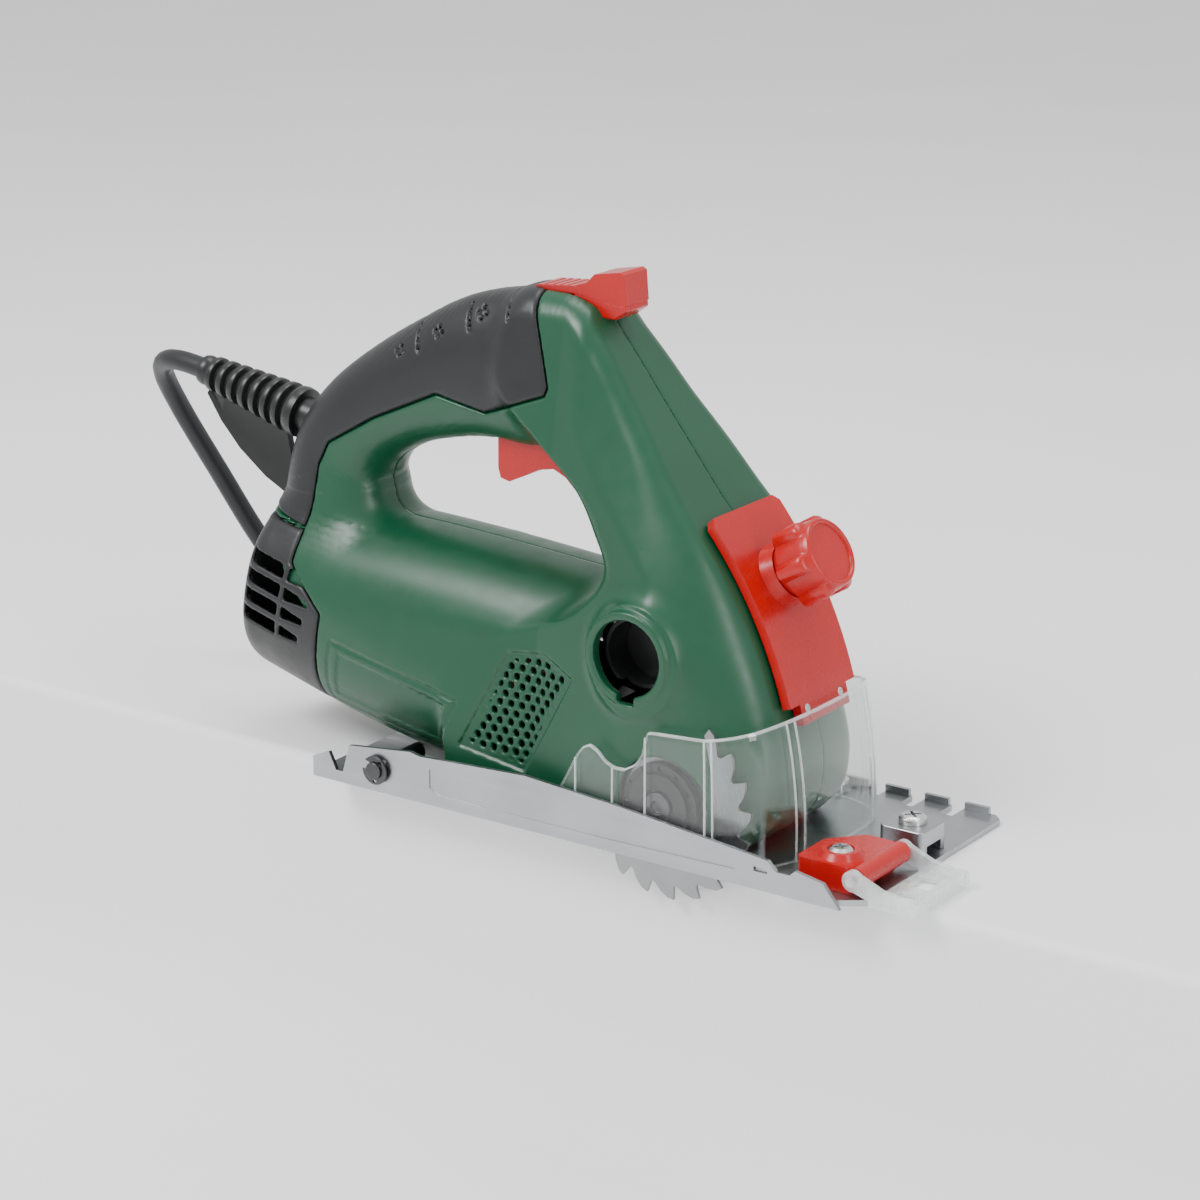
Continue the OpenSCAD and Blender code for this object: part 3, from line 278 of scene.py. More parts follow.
M = {
    "green": moulded("green_plastic", (0.003, 0.062, 0.026), 0.34, 0.02, 1700, 0.06),
    "grip": moulded("grip_rubber", (0.010, 0.011, 0.012), 0.42, 0.045, 1300, 0.12, 0.45),
    "vent": moulded("vent_plastic", (0.011, 0.012, 0.013), 0.4, 0.02, 1500, 0.1),
    "black": moulded("black_plastic", (0.009, 0.0095, 0.01), 0.36, 0.02, 1500, 0.12),
    "red": moulded("red_plastic", (0.42, 0.0015, 0.002), 0.27, 0.012, 1800, 0.05, 0.5),
    "base": metal("pressed_aluminium", (0.4, 0.41, 0.425), 0.33, (14, 420, 420), 0.012, 0.08),
    "zinc": metal("zinc_plated", (0.66, 0.67, 0.66), 0.26, (300, 300, 300), 0.01, 0.1),
    "dark": metal("blackened_steel", (0.09, 0.09, 0.095), 0.35, (250, 250, 250), 0.02, 0.15),
    "blade": turned("blade_steel", (0.3, 0.305, 0.31), 0.3, AXIS_AT, (0, 1, 0)),
    "carbide": metal("carbide", (0.1, 0.1, 0.105), 0.32, (600, 600, 600), 0.01, 0.1),
    "turned_y": turned("turned_steel", (0.62, 0.63, 0.64), 0.24, AXIS_AT, (0, 1, 0)),
    "turned_motor": turned("shaft_steel", (0.62, 0.63, 0.64), 0.22, AXIS_AT, MOTOR_BACK),
    "gear": metal("gear_steel", (0.36, 0.36, 0.37), 0.34, (200, 200, 200), 0.02, 0.12),
    "alloy": cast("cast_alloy", (0.58, 0.59, 0.6), 0.45),
    "lamination": layered("laminations", (0.2, 0.2, 0.22), 0.45, MOTOR_BACK, 1.0),
    "copper": layered("enamelled_wire", (0.62, 0.2, 0.06), 0.28, MOTOR_UP, 0.9),
    "copper_bar": layered("commutator_copper", (0.72, 0.33, 0.14), 0.25, (0, 1, 0), 2.0, 1.0, 0.02),
    "brass": metal("brass_sheet", (0.72, 0.5, 0.18), 0.28, (400, 40, 400), 0.01, 0.08),
    "carbon": moulded("carbon", (0.03, 0.03, 0.032), 0.6, 0.03, 2200, 0.2),
    "cord": moulded("cord_rubber", (0.013, 0.014, 0.016), 0.45, 0.03, 2600, 0.15, 0.4),
    "case": moulded("capacitor_case", (0.6, 0.42, 0.05), 0.3, 0.01, 900, 0.06),
    "nickel": metal("nickel_plated", (0.75, 0.73, 0.68), 0.16, (500, 60, 60), 0.006, 0.06),
    "clear": clear("clear_guard", (0.95, 0.97, 0.965), 0.955, 0.02),
    "rim": clear("clear_rim", (0.9, 0.93, 0.93), 0.82, 0.05, 0.3),
}


# ------------------------------------------------------------------ mesh helpers
WELD = 0.002
FLAT_ANGLE = math.radians(0.6)


def piece(name, verts_mm, faces, mats, body, smooth=True, sharp=None, stands_for=()):
    """A mesh object from millimetres, riding on a body."""
    mesh = bpy.data.meshes.new(name)
    mesh.from_pydata([tuple(float(c) * MM for c in v) for v in verts_mm], [], faces)
    mesh.validate()
    obj = place(name, mesh)
    for m in mats if isinstance(mats, (list, tuple)) else [mats]:
        mesh.materials.append(m)
    mesh.polygons.foreach_set("use_smooth", [smooth] * len(mesh.polygons))
    if sharp is not None:
        mark_sharp(mesh, sharp)
    if body:
        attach(obj, body)
        if stands_for:
            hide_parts(*stands_for)
    return obj


def smooth_below(b, degrees):
    """Edges that turn more than this stay sharp in the shading."""
    for e in b.edges:
        e.smooth = len(e.link_faces) == 2 and e.calc_face_angle(0) < math.radians(degrees)


def mark_sharp(mesh, degrees):
    b = bmesh.new()
    b.from_mesh(mesh)
    smooth_below(b, degrees)
    b.to_mesh(mesh)
    b.free()


def add_bevel(obj, width, segments=2, angle=40):
    mod = obj.modifiers.new("edges", "BEVEL")
    mod.width = width * MM
    mod.segments = segments
    mod.limit_method = "ANGLE"
    mod.angle_limit = math.radians(angle)
    mod.use_clamp_overlap = True
    mod.harden_normals = False
    return mod


def refine(node, mat, bevel=0.25, segments=2, angle=38, name=None):
    """The CAD node's own shape, welded, with its edges broken as a real part's are."""
    src = NODES[node]
    mesh = src.data.copy()
    mesh.name = name or node + "_finished"
    b = bmesh.new()
    b.from_mesh(mesh)
    bmesh.ops.remove_doubles(b, verts=b.verts, dist=WELD * MM)
    bmesh.ops.dissolve_limit(b, angle_limit=FLAT_ANGLE, verts=b.verts, edges=b.edges)
    for f in b.faces:
        f.smooth = True
    smooth_below(b, angle)
    b.to_mesh(mesh)
    b.free()
    if mesh.attributes.get("custom_normal"):
        mesh.attributes.remove(mesh.attributes["custom_normal"])
    mesh.materials.clear()
    mesh.materials.append(mat)
    obj = place(mesh.name, mesh)
    if bevel:
        add_bevel(obj, bevel, segments, angle)
    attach(obj, src["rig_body"])
    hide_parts(node)
    return obj


def paint(node, mat):
    """A CAD node that keeps its shape gets its material."""
    slots = NODES[node].data.materials
    slots.clear()
    slots.append(mat)


def spline(points, per):
    """Smooth open curve through points, per steps between each two."""
    p = [np.array(q, float) for q in points]
    out = []
    for i in range(len(p) - 1):
        a, b, c, d = p[max(i - 1, 0)], p[i], p[i + 1], p[min(i + 2, len(p) - 1)]
        for k in range(per):
            t = k / per
            out.append(0.5 * (2 * b + (c - a) * t + (2 * a - 5 * b + 4 * c - d) * t * t
                              + (3 * b - a - 3 * c + d) * t ** 3))
    out.append(p[-1])
    return out


def even(points, step):
    """The same curve with points a step apart."""
    p = np.array(points, float)
    run = np.concatenate([[0], np.cumsum(np.linalg.norm(np.diff(p, axis=0), axis=1))])
    n = max(2, int(round(run[-1] / step)) + 1)
    at = np.linspace(0, run[-1], n)
    return np.stack([np.interp(at, run, p[:, k]) for k in range(3)], axis=1), run[-1]


def sweep(path, radius, sides=14, up=(0, 0, 1)):
    """Vertices and faces of a round tube with flat ends. radius may be a function of 0 to 1."""
    path = np.array(path, float)
    n = len(path)
    tangent = np.gradient(path, axis=0)
    tangent /= np.linalg.norm(tangent, axis=1)[:, None]
    u = np.array(up, float)
    verts, faces = [], []
    for i in range(n):
        u = u - tangent[i] * (u @ tangent[i])
        u /= np.linalg.norm(u)
        w = np.cross(tangent[i], u)
        r = radius(i / (n - 1)) if callable(radius) else radius
        for j in range(sides):
            a = 2 * math.pi * j / sides
            verts.append(path[i] + r * (math.cos(a) * u + math.sin(a) * w))
    for i in range(n - 1):
        for j in range(sides):
            a, b = i * sides + j, i * sides + (j + 1) % sides
            faces.append((a, b, b + sides, a + sides))
    faces.append(tuple(range(sides - 1, -1, -1)))
    faces.append(tuple((n - 1) * sides + j for j in range(sides)))
    return verts, faces


def ring_faces(rings, sides):
    """Quads between rings of vertices laid one after another."""
    faces = []
    for i in range(rings - 1):
        for j in range(sides):
            a, b = i * sides + j, i * sides + (j + 1) % sides
            faces.append((a, a + sides, b + sides, b))
    return faces


# ------------------------------------------------------------------ supply cord
CORD_D = 7.5
COIL_AT = (-84, 110)
RELIEF_FROM = (-146, 0, 112)
RELIEF_LEAN = math.radians(78)
RELIEF_AIM = (-0.978, 0, 0.208)
RELIEF_BORE_R = 3.85
RELIEF_TAIL = -12
RIBS = 7
RIB_PITCH = 5.5
WEB_TOP = [(40, 4.6), (33, 5.4), (24, 6), (14, 6.6), (4, 7)]
WEB_OUTER = [(-187, 0, 113), (-181, 0, 104), (-172.5, 0, 95), (-161, 0, 86.5), (-146, 0, 79)]
LEAD_ROUTE = [(-140, 0, 110.7), (-165, 0, 116), (-190, 0, 121.3), (-207, 2, 122),
              (-219, 10, 115), (-222, 22, 98), (-215, 34, 72), (-202, 43, 44),
              (-182, 49, 20), (-160, 53, 7), (-137, 55.4, 4), (-116, 56.8, 3.8)]
TAIL_ROUTE = [(-135, 133.6, 13.6), (-142, 126.4, 9.8), (-149, 121.6, 8.4),
              (-156, 118.6, 9.4), (-162, 117.4, 11), (-170, 117, 12.6)]
LAYERS = [(3.8, (52.4, 44.9, 37.4)), (10.3, (41.2, 48.7)), (16.8, (37.4, 44.9, 52.4))]
COIL_FIRST = math.radians(270)
COIL_LAST = math.radians(135)


def coil_turns():
    """Neat turns, three, two and three on each other, counted from the near side."""
    rings = [(r, z) for z, row in LAYERS for r in row]
    steps = 28
    total = len(rings) * steps - int(steps * (COIL_FIRST - COIL_LAST) / (2 * math.pi))
    out = []
    for k in range(total + 1):
        turn = k / steps
        i = min(int(turn), len(rings) - 1)
        j = min(i + 1, len(rings) - 1)
        share = max(0.0, (turn - i - 0.72) / 0.28) if j > i else 0.0
        share = share * share * (3 - 2 * share)
        r = rings[i][0] * (1 - share) + rings[j][0] * share
        z = rings[i][1] * (1 - share) + rings[j][1] * share
        a = COIL_FIRST + 2 * math.pi * turn
        out.append((COIL_AT[0] + r * math.cos(a), COIL_AT[1] + r * math.sin(a), z))
    return out


def make_cord():
    coarse = LEAD_ROUTE + [(-100, 57.4, 3.8)] + coil_turns() + TAIL_ROUTE
    path, length = even(spline(coarse, 6), 2.6)
    verts, faces = sweep(path, CORD_D / 2, 14)
    cord = piece("supply_cord", verts, faces, M["cord"], None, sharp=60)
    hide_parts("cord_lead", "cord_coil", "cord_tail")
    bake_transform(cord)
    return cord, path, length


CORD, CORD_PATH, CORD_LENGTH = make_cord()


def relief_frame():
    """Start, axis, up and side of the sleeve."""
    axis = Vector((-math.sin(RELIEF_LEAN), 0, math.cos(RELIEF_LEAN)))
    return Vector(RELIEF_FROM), axis, Vector((axis.z, 0, -axis.x)), Vector((0, 1, 0))


def relief_profile():
    """Distance along and radius: flange, tapering ribs and mouth."""
    profile = [(RELIEF_TAIL, 6.0), (-3, 6.2), (-2.6, 8.9), (-0.6, 9.2), (1.2, 8.9), (2.4, 7.4)]
    s = 3.6
    for k in range(RIBS):
        out = 8.9 - 0.42 * k
        deep = out - 1.9
        profile += [(s, deep), (s + 0.5, out - 0.2), (s + 1.0, out), (s + 2.6, out - 0.1),
                    (s + 3.1, out - 0.5), (s + 3.4, deep)]
        s += RIB_PITCH
    mouth = s + 2.5
    profile += [(s - 0.9, 5.4), (s + 1.0, 5.5), (s + 2.2, 5.2), (mouth, 4.2)]
    return profile + [(mouth, RELIEF_BORE_R), (RELIEF_TAIL, RELIEF_BORE_R)]


def make_relief():
    """Tapered ribbed sleeve round the cord."""
    start, axis, up, side = relief_frame()
    profile = relief_profile()
    sides = 40
    verts, faces = [], ring_faces(len(profile), sides)
    for z, r in profile:
        for j in range(sides):
            a = 2 * math.pi * j / sides
            verts.append(start + axis * z + up * (r * math.cos(a)) + side * (r * math.sin(a)))
    last = (len(profile) - 1) * sides
    for j in range(sides):
        faces.append((last + j, j, (j + 1) % sides, last + (j + 1) % sides))
    return piece("bend_relief_sleeve", verts, faces, M["black"], "housing",
                 sharp=50, stands_for=["bend_relief"])


def make_web():
    """Web from the sleeve's underside down to the handle, with a bead along its edge."""
    start, axis, up, side = relief_frame()
    top = [start + axis * z - up * r for z, r in WEB_TOP]
    outer = [Vector(p) for p in WEB_OUTER]
    rows = []
    for k in range(25):
        t = k / 24 * (len(top) - 1)
        i = min(int(t), len(top) - 2)
        rows.append((top[i].lerp(top[i + 1], t - i), outer[i].lerp(outer[i + 1], t - i)))
    verts, faces = [], []
    for a, b in rows:
        edge = (b - a).normalized() * 2.2
        for p, half in ((a, 1.5), (b - edge, 1.0), (b - edge * 0.4, 2.0), (b, 2.0)):
            verts += [p + side * half, p - side * half]
    loop = [0, 2, 4, 6, 7, 5, 3, 1]
    for k in range(len(rows) - 1):
        o, q = 8 * k, 8 * (k + 1)
        for m in range(8):
            i, j = loop[m], loop[(m + 1) % 8]
            faces.append((o + i, o + j, q + j, q + i))
    last = 8 * (len(rows) - 1)
    for o, ring in ((0, [1, 3, 5, 7, 6, 4, 2, 0]), (last, loop)):
        faces.append(tuple(o + i for i in ring))
    piece("relief_web", verts, faces, M["black"], "housing", sharp=50)


RELIEF = make_relief()
make_web()


def make_plug():
    return [refine("plug_body", M["cord"], 0.5, 3, 40, "plug_moulding"),
            refine("plug_pins", M["nickel"], 0.2, 2, 40, "plug_contacts"),
            refine("cord_tie", M["black"], 0.5, 2, 40, "hook_and_loop_tie")]


PLUG = make_plug()


# ------------------------------------------------------------------ moulded shells as fields
STEP = 0.8
XS = np.arange(-158.1, 72.5, STEP, dtype=np.float32)
YS = (np.arange(-math.ceil(47 / STEP), math.ceil(47 / STEP) + 1) * STEP + STEP / 2).astype(np.float32)
ZS = np.arange(0.4, 171.5, STEP, dtype=np.float32)
X2, Z2 = XS[:, None], ZS[None, :]
X, Y, Z = XS[:, None, None], YS[None, :, None], ZS[None, None, :]
WALL = 2.6
SOFT_T = 1.5
SOLE_TOP = 3
NOSE_TOP = 168.4
BARREL_ENDS = (28, 189.6)
SQUARENESS = 2.4
FAR = 50.0

# along the motor: distance back, half sizes up, down and sideways
BARREL = [(28, 50, 12, 35.5), (50, 51, 24, 35.5), (75, 48.5, 29, 35), (100, 45.5, 33, 34.5),
          (125, 42, 34, 34), (150, 38, 33, 33.2), (168, 35.5, 32, 32), (180, 34, 31.5, 30.5),
          (190, 32.4, 30.6, 29.4)]
# height, front, back, right and left sides, front corner, rear corner
NOSE = [(3, 58, -56, 41.5, 31, 26, 16, 8, 8), (12, 66, -56, 41.5, 32, 32, 18, 8, 8),
        (25, 69.3, -56, 41.5, 33, 36, 20, 8, 8), (42, 66.2, -50, 41.5, 33, 36, 20, 12, 12),
        (58, 61.5, -26, 41.5, 33, 36, 20, 16, 14), (72, 55.6, -7, 40.5, 33, 34, 19.5, 20, 16),
        (86, 48, 1, 37.5, 33, 30, 16, 20, 17), (98, 39.4, -5, 33, 31.5, 22, 11, 18, 14),
        (110, 29, -14, 28.5, 28, 14, 8, 14, 11), (122, 19.5, -30, 24.5, 24.5, 9, 6.5, 10, 9),
        (137, 7.5, -46, 20.5, 20.5, 8, 6, 8, 8), (150, -2.6, -46, 18, 18, 7, 6, 7, 7),
        (160, -11, -45, 15.6, 15.6, 7, 6, 7, 6), (169, -20, -42, 11, 11, 6, 6, 6, 6)]
# middle of the bar, half height, half width
BAR = [(-18, 141, 24, 15.5), (-40, 141.5, 26.5, 16.4), (-60, 140, 24.5, 17),
       (-79, 134, 21.2, 17), (-97, 126, 18.6, 17), (-113, 115, 17.6, 17.4),
       (-122.5, 101, 19, 18), (-124, 84, 21.5, 20), (-122, 62, 24, 22)]


def through(t, knots, values):
    """Smooth curve through a table's values."""
    knots, values = np.array(knots, float), np.array(values, float)
    slope = np.gradient(values, knots)
    i = np.clip(np.searchsorted(knots, t) - 1, 0, len(knots) - 2)
    h = knots[i + 1] - knots[i]
    u = np.clip((t - knots[i]) / h, 0, 1)
    return ((1 + 2 * u) * (1 - u) ** 2 * values[i] + u * (1 - u) ** 2 * h * slope[i]
            + u * u * (3 - 2 * u) * values[i + 1] + u * u * (u - 1) * h * slope[i + 1])


def join(a, b, k):
    """Both solids, with a fillet of about k between them."""
    h = np.maximum(k - np.abs(a - b), 0) / k
    return np.minimum(a, b) - h * h * (k * 0.25)


def meet(a, b, k):
    """What both solids share, with its new edge rounded."""
    return -join(-a, -b, k)


def without(a, b, k):
    return -join(-a, b, k)


def as_distance(f):
    """Scales a field so that it reads in millimetres near its surface."""
    gx, gy, gz = np.gradient(f, STEP)
    return (f / np.maximum(np.sqrt(gx * gx + gy * gy + gz * gz), 0.25)).astype(np.float32)


def along_motor():
    dx, dz = X2 - BLADE_AT[0], Z2 - BLADE_AT[1]
    return (-math.cos(TILT) * dx + math.sin(TILT) * dz, math.sin(TILT) * dx + math.cos(TILT) * dz)


MOTOR_S, MOTOR_U = along_motor()


def barrel_field():
    s, up = MOTOR_S, MOTOR_U
    t = [r[0] for r in BARREL]
    high = np.where(up > 0, through(s, t, [r[1] for r in BARREL]),
                    through(s, t, [r[2] for r in BARREL]))
    wide = through(s, t, [r[3] for r in BARREL])[:, None, :]
    tall = (np.abs(up) / high)[:, None, :]
    m = (tall ** SQUARENESS + (np.abs(Y) / wide) ** SQUARENESS) ** (1 / SQUARENESS)
    m = np.maximum(m, 1e-3)
    rho = np.sqrt(up[:, None, :] ** 2 + Y ** 2)
    f = as_distance(rho * (1 - 1 / m))
    f = meet(f, (BARREL_ENDS[0] - s)[:, None, :], 7)
    return meet(f, (s - BARREL_ENDS[1])[:, None, :], 9)


def nose_field():
    t = [r[0] for r in NOSE]
    front, back, right, left, cx, cy, rx, ry = (through(ZS, t, [r[k] for r in NOSE])
                                                for k in range(1, 9))
    side = np.where(Y < 0, right, left)

    def corner(ax, ay, kx, ky):
        px, py = np.maximum(ax, 0) * kx, np.maximum(ay, 0) * ky
        m = np.sqrt(np.maximum(ax, 0) ** 2 + np.maximum(ay, 0) ** 2)
        ray = np.sqrt(px * px + py * py) * (1 - 1 / np.maximum(m, 1e-3))
        return np.where(m > 1e-3, ray, np.maximum((ax - 1) * kx, (ay - 1) * ky))

    f = np.maximum(corner((X - (front - cx)) / cx, (np.abs(Y) - (side - cy)) / cy, cx, cy),
                   corner(((back + rx) - X) / rx, (np.abs(Y) - (side - ry)) / ry, rx, ry))
    f = as_distance(f.astype(np.float32))
    return meet(meet(f, Z - NOSE_TOP, 5), SOLE_TOP - Z, 2)


def bar_field():
    path = np.array(spline([(r[0], r[1]) for r in BAR], 40))
    knots = np.arange(len(BAR)) * 40
    i = np.arange(len(path))
    high, wide = through(i, knots, [r[2] for r in BAR]), through(i, knots, [r[3] for r in BAR])
    tangent = np.gradient(path, axis=0)
    tangent /= np.linalg.norm(tangent, axis=1)[:, None]
    best = np.full((len(XS), len(ZS)), 1e9)
    at = np.zeros(best.shape, int)
    for k in range(0, len(path), 2):
        d = (X2 - path[k, 0]) ** 2 + (Z2 - path[k, 1]) ** 2
        near = d < best
        best = np.where(near, d, best)
        at = np.where(near, k, at)
    px, pz, tx, tz = path[at, 0], path[at, 1], tangent[at, 0], tangent[at, 1]
    off = (X2 - px) * tz - (Z2 - pz) * tx
    beyond = (X2 - px) * tx + (Z2 - pz) * tz
    n = 2.5
    m = ((np.abs(off) / high[at])[:, None, :] ** n + (np.abs(Y) / wide[at][:, None, :]) ** n)
    m = np.maximum(m ** (1 / n), 1e-3)
    rho = np.sqrt(off[:, None, :] ** 2 + Y ** 2)
    f = as_distance((rho * (1 - 1 / m)).astype(np.float32))
    end = np.where((at == 0) | (at >= len(path) - 2), np.abs(beyond) - 1, -FAR)
    return meet(f, end[:, None, :].astype(np.float32), 3)


def zone(points):
    """Signed distance to an outline in side view, negative inside."""
    best = np.full((len(XS), len(ZS)), 1e9)
    inside = np.zeros(best.shape, bool)
    for (ax, az), (bx, bz) in zip(points, points[1:] + points[:1]):
        ex, ez = bx - ax, bz - az
        t = np.clip(((X2 - ax) * ex + (Z2 - az) * ez) / (ex * ex + ez * ez), 0, 1)
        best = np.minimum(best, (X2 - ax - ex * t) ** 2 + (Z2 - az - ez * t) ** 2)
        if az != bz:
            inside ^= ((az > Z2) != (bz > Z2)) & (X2 < ex * (Z2 - az) / ez + ax)
    return (np.where(inside, -1, 1) * np.sqrt(best)).astype(np.float32)[:, None, :]


def disc(x, z, r):
    """Round outline in side view."""
    return (np.sqrt((X2 - x) ** 2 + (Z2 - z) ** 2) - r).astype(np.float32)[:, None, :]


def block(x0, x1, y0, y1, z0, z1):
    ax = np.abs(X - (x0 + x1) / 2) - (x1 - x0) / 2
    ay = np.abs(Y - (y0 + y1) / 2) - (y1 - y0) / 2
    az = np.abs(Z - (z0 + z1) / 2) - (z1 - z0) / 2
    return np.maximum(np.maximum(ax, ay), az)


def rod(start, direction, r, s0, s1):
    """Round bar along a direction, between two distances from start."""
    dx, dy, dz = X - start[0], Y - start[1], Z - start[2]
    s = dx * direction[0] + dy * direction[1] + dz * direction[2]
    rho = np.sqrt(np.maximum(dx * dx + dy * dy + dz * dz - s * s, 0))
    return np.maximum(np.maximum(rho - r, s0 - s), s - s1).astype(np.float32)


def sample(field, p):
    """The field between grid points."""
    q = (p - np.array([XS[0], YS[0], ZS[0]])) / STEP
    i = np.clip(np.floor(q).astype(int), 0, np.array(field.shape) - 2)
    f = q - i
    total = 0
    for dx in (0, 1):
        for dy in (0, 1):
            for dz in (0, 1):
                w = ((f[:, 0] if dx else 1 - f[:, 0]) * (f[:, 1] if dy else 1 - f[:, 1])
                     * (f[:, 2] if dz else 1 - f[:, 2]))
                total = total + w * field[i[:, 0] + dx, i[:, 1] + dy, i[:, 2] + dz]
    return total


def slope_at(field, p, e=0.45):
    e = e * STEP
    g = np.stack([sample(field, p + d * e) - sample(field, p - d * e) for d in np.eye(3)], axis=1)
    return g / np.maximum(np.linalg.norm(g, axis=1), 1e-6)[:, None]


def skin(field):
    """Closed quad mesh round where the field is negative, with normals from its slope."""
    field = np.pad(field[1:-1, 1:-1, 1:-1], 1, constant_values=5.0)
    nx, ny, nz = field.shape
    inside = field < 0

    def part(a, i, j, k):
        return a[i:nx - 1 + i, j:ny - 1 + j, k:nz - 1 + k]

    corners = [(i, j, k) for i in (0, 1) for j in (0, 1) for k in (0, 1)]
    count = sum(part(inside, *c).astype(np.int8) for c in corners)
    active = (count > 0) & (count < 8)
    cells = np.argwhere(active)
    number = np.full(active.shape, -1, np.int32)
    number[active] = np.arange(len(cells))
    total, hits = np.zeros((len(cells), 3)), np.zeros(len(cells))
    for a in corners:
        for axis in range(3):
            if a[axis]:
                continue
            b = list(a)
            b[axis] = 1
            va = part(field, *a)[active]
            vb = part(field, *b)[active]
            hit = (va < 0) != (vb < 0)
            t = va / np.where(hit, va - vb, 1)
            q = np.array(a, float)[None, :] + t[:, None] * (np.array(b) - np.array(a))[None, :]
            total[hit] += q[hit]
            hits[hit] += 1
    verts = (cells + total / hits[:, None]) * STEP + np.array([XS[0], YS[0], ZS[0]])
    for _ in range(2):
        d = np.clip(sample(field, verts), -0.4 * STEP, 0.4 * STEP)
        verts = verts - slope_at(field, verts) * d[:, None]
    faces = []
    for axis in range(3):
        lo, hi = [slice(None)] * 3, [slice(None)] * 3
        lo[axis], hi[axis] = slice(0, -1), slice(1, None)
        a, b = inside[tuple(lo)], inside[tuple(hi)]
        edge = np.argwhere(a != b)
        u, v = (axis + 1) % 3, (axis + 2) % 3
        edge = edge[(edge[:, u] > 0) & (edge[:, v] > 0)]
        ring = []
        for du, dv in ((1, 1), (0, 1), (0, 0), (1, 0)):
            c = edge.copy()
            c[:, u] -= du
            c[:, v] -= dv
            ring.append(number[c[:, 0], c[:, 1], c[:, 2]])
        quad = np.stack(ring, axis=1)
        flip = ~a[edge[:, 0], edge[:, 1], edge[:, 2]]
        quad[flip] = quad[flip][:, ::-1]
        faces.append(quad)
    return verts, np.concatenate(faces), slope_at(field, verts)


def shell_piece(name, field, mat, body, stands_for=()):
    verts, quads, normals = skin(field)
    mesh = bpy.data.meshes.new(name)
    mesh.from_pydata((verts * MM).tolist(), [], quads.tolist())
    mesh.polygons.foreach_set("use_smooth", [True] * len(mesh.polygons))
    mesh.normals_split_custom_set_from_vertices(normals.tolist())
    mesh.materials.append(mat)
    obj = place(name, mesh)
    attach(obj, body)
    if stands_for:
        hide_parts(*stands_for)
    return obj


GRIP = [(-36, 175), (-26, 140), (-27, 137), (-54, 127), (-73, 131), (-100, 119), (-119, 108),
        (-123, 100), (-125, 84), (-126, 78), (-170, 86), (-175, 140), (-100, 190)]
REAR = [(-126, 77.6), (-127, 67), (-112, 52), (-118, 14), (-190, 0), (-190, 85.6)]
PORT = (21.6, 64)
GRIP_DOTS = [(-89, 143.5), (-73, 152), (-56, 160)]
GRIP_SLITS = [(-82, 148.4, 1.9), (-61, 158, 1.9), (-45, 163.5, 1.9)]
HOLE_FIELD = [(-33, 53), (-18, 55), (-4.4, 50), (-23, 15), (-50, 19)]
PANEL = [(-104, 40), (-56, 31), (-63, 16), (-109, 23)]
PANEL_FRAME = [(-107, 43.4), (-52.5, 33), (-61, 12.6), (-112.5, 20.4)]
# place in side view and depth of each screw
BOSSES = [(-135, 74, 12), (-112, 103, 12), (-34, 156, 12), (2, 128, 12), (52, 50, 22),
          (-62, 74, 12), (-10, 66, 12)]


def outer_field():
    body = join(barrel_field(), nose_field(), 9)
    body = join(body, bar_field(), 8)
    # flat flank of the barrel, with a crisp upper edge
    flank = (-Y + 0.149 * MOTOR_U[:, None, :] - 34.9) - np.maximum(X + 22, 0) * 0.25
    body = meet(body, flank.astype(np.float32), 0.7)
    # swelling of the dust duct, with its round collar
    duct = rod((PORT[0], -26, PORT[1]), (0, -1, 0), 16.4, -20, 14)
    body = join(body, duct, 8)
    collar = rod((PORT[0], -30, PORT[1]), (0, -1, 0), 15.4, -10, 13.4)
    body = join(body, collar, 1.6)
    return meet(body, SOLE_TOP - Z, 1.5)


def vent_rows():
    """Openings of the rear vent in side view, as long tapering slots in two columns."""
    field = np.full((len(XS), 1, len(ZS)), FAR, np.float32)
    for k in range(4):
        u = 14.2 - 6.9 * k
        for s0, s1, half in ((155 + 1.2 * k, 167.4, 2.0), (169.6, 186, 2.2)):
            taper = half * (0.45 + 0.55 * np.clip((MOTOR_S - s0) / 10, 0, 1)) if s0 < 168 else half
            slot_ = np.maximum(np.abs(MOTOR_U - u) - taper, np.maximum(s0 - MOTOR_S, MOTOR_S - s1))
            field = np.minimum(field, slot_[:, None, :].astype(np.float32))
    return field


def mark_flank(outer):
    """Label panel, its frame line, and the step round the field of air holes."""
    panel = np.maximum(zone(PANEL), Y + 20)
    body = outer + 0.55 * np.clip(-panel * 1.4, 0, 1) * (panel < 0)
    line = np.abs(np.maximum(zone(PANEL_FRAME), Y + 20)) - 0.55
    body = without(body, np.maximum(line, -(outer + 0.5)), 0.6)
    sunk = np.maximum(zone(HOLE_FIELD), np.maximum(Y + 20, -(outer + 0.7)))
    return without(body, sunk, 0.5)


def cut_outlet(shell):
    """Bore of the dust outlet and its bayonet notch."""
    shell = without(shell, rod((PORT[0], -30, PORT[1]), (0, -1, 0), 12.5, -14, 30), 0.8)
    notch = block(PORT[0] - 3.4, PORT[0] + 3.0, -50, -38.6, PORT[1] - 15, PORT[1] - 10)
    return without(shell, notch, 0.5)


def cut_chamber(shell, outer):
    """Room for the blade, with a kerf at the front corner, and the flange's opening."""
    chamber = np.minimum(np.maximum(disc(*BLADE_AT, 34.6), np.abs(Y + 37.2) - 3.2),
                         block(-0.6, 68.6, -40.4, -34, -4, 14))
    kerf = np.abs(Y + 38) - 1.5
    chamber = np.maximum(chamber, np.minimum(outer + 1.5, np.maximum(kerf, 54 - X)))
    shell = without(shell, chamber, 0.4)
    shell = without(shell, np.maximum(disc(*BLADE_AT, 15.6), Y + 38), 1.2)
    return without(shell, block(18.4, 49.6, -60, -38, -4, 17), 0.8)


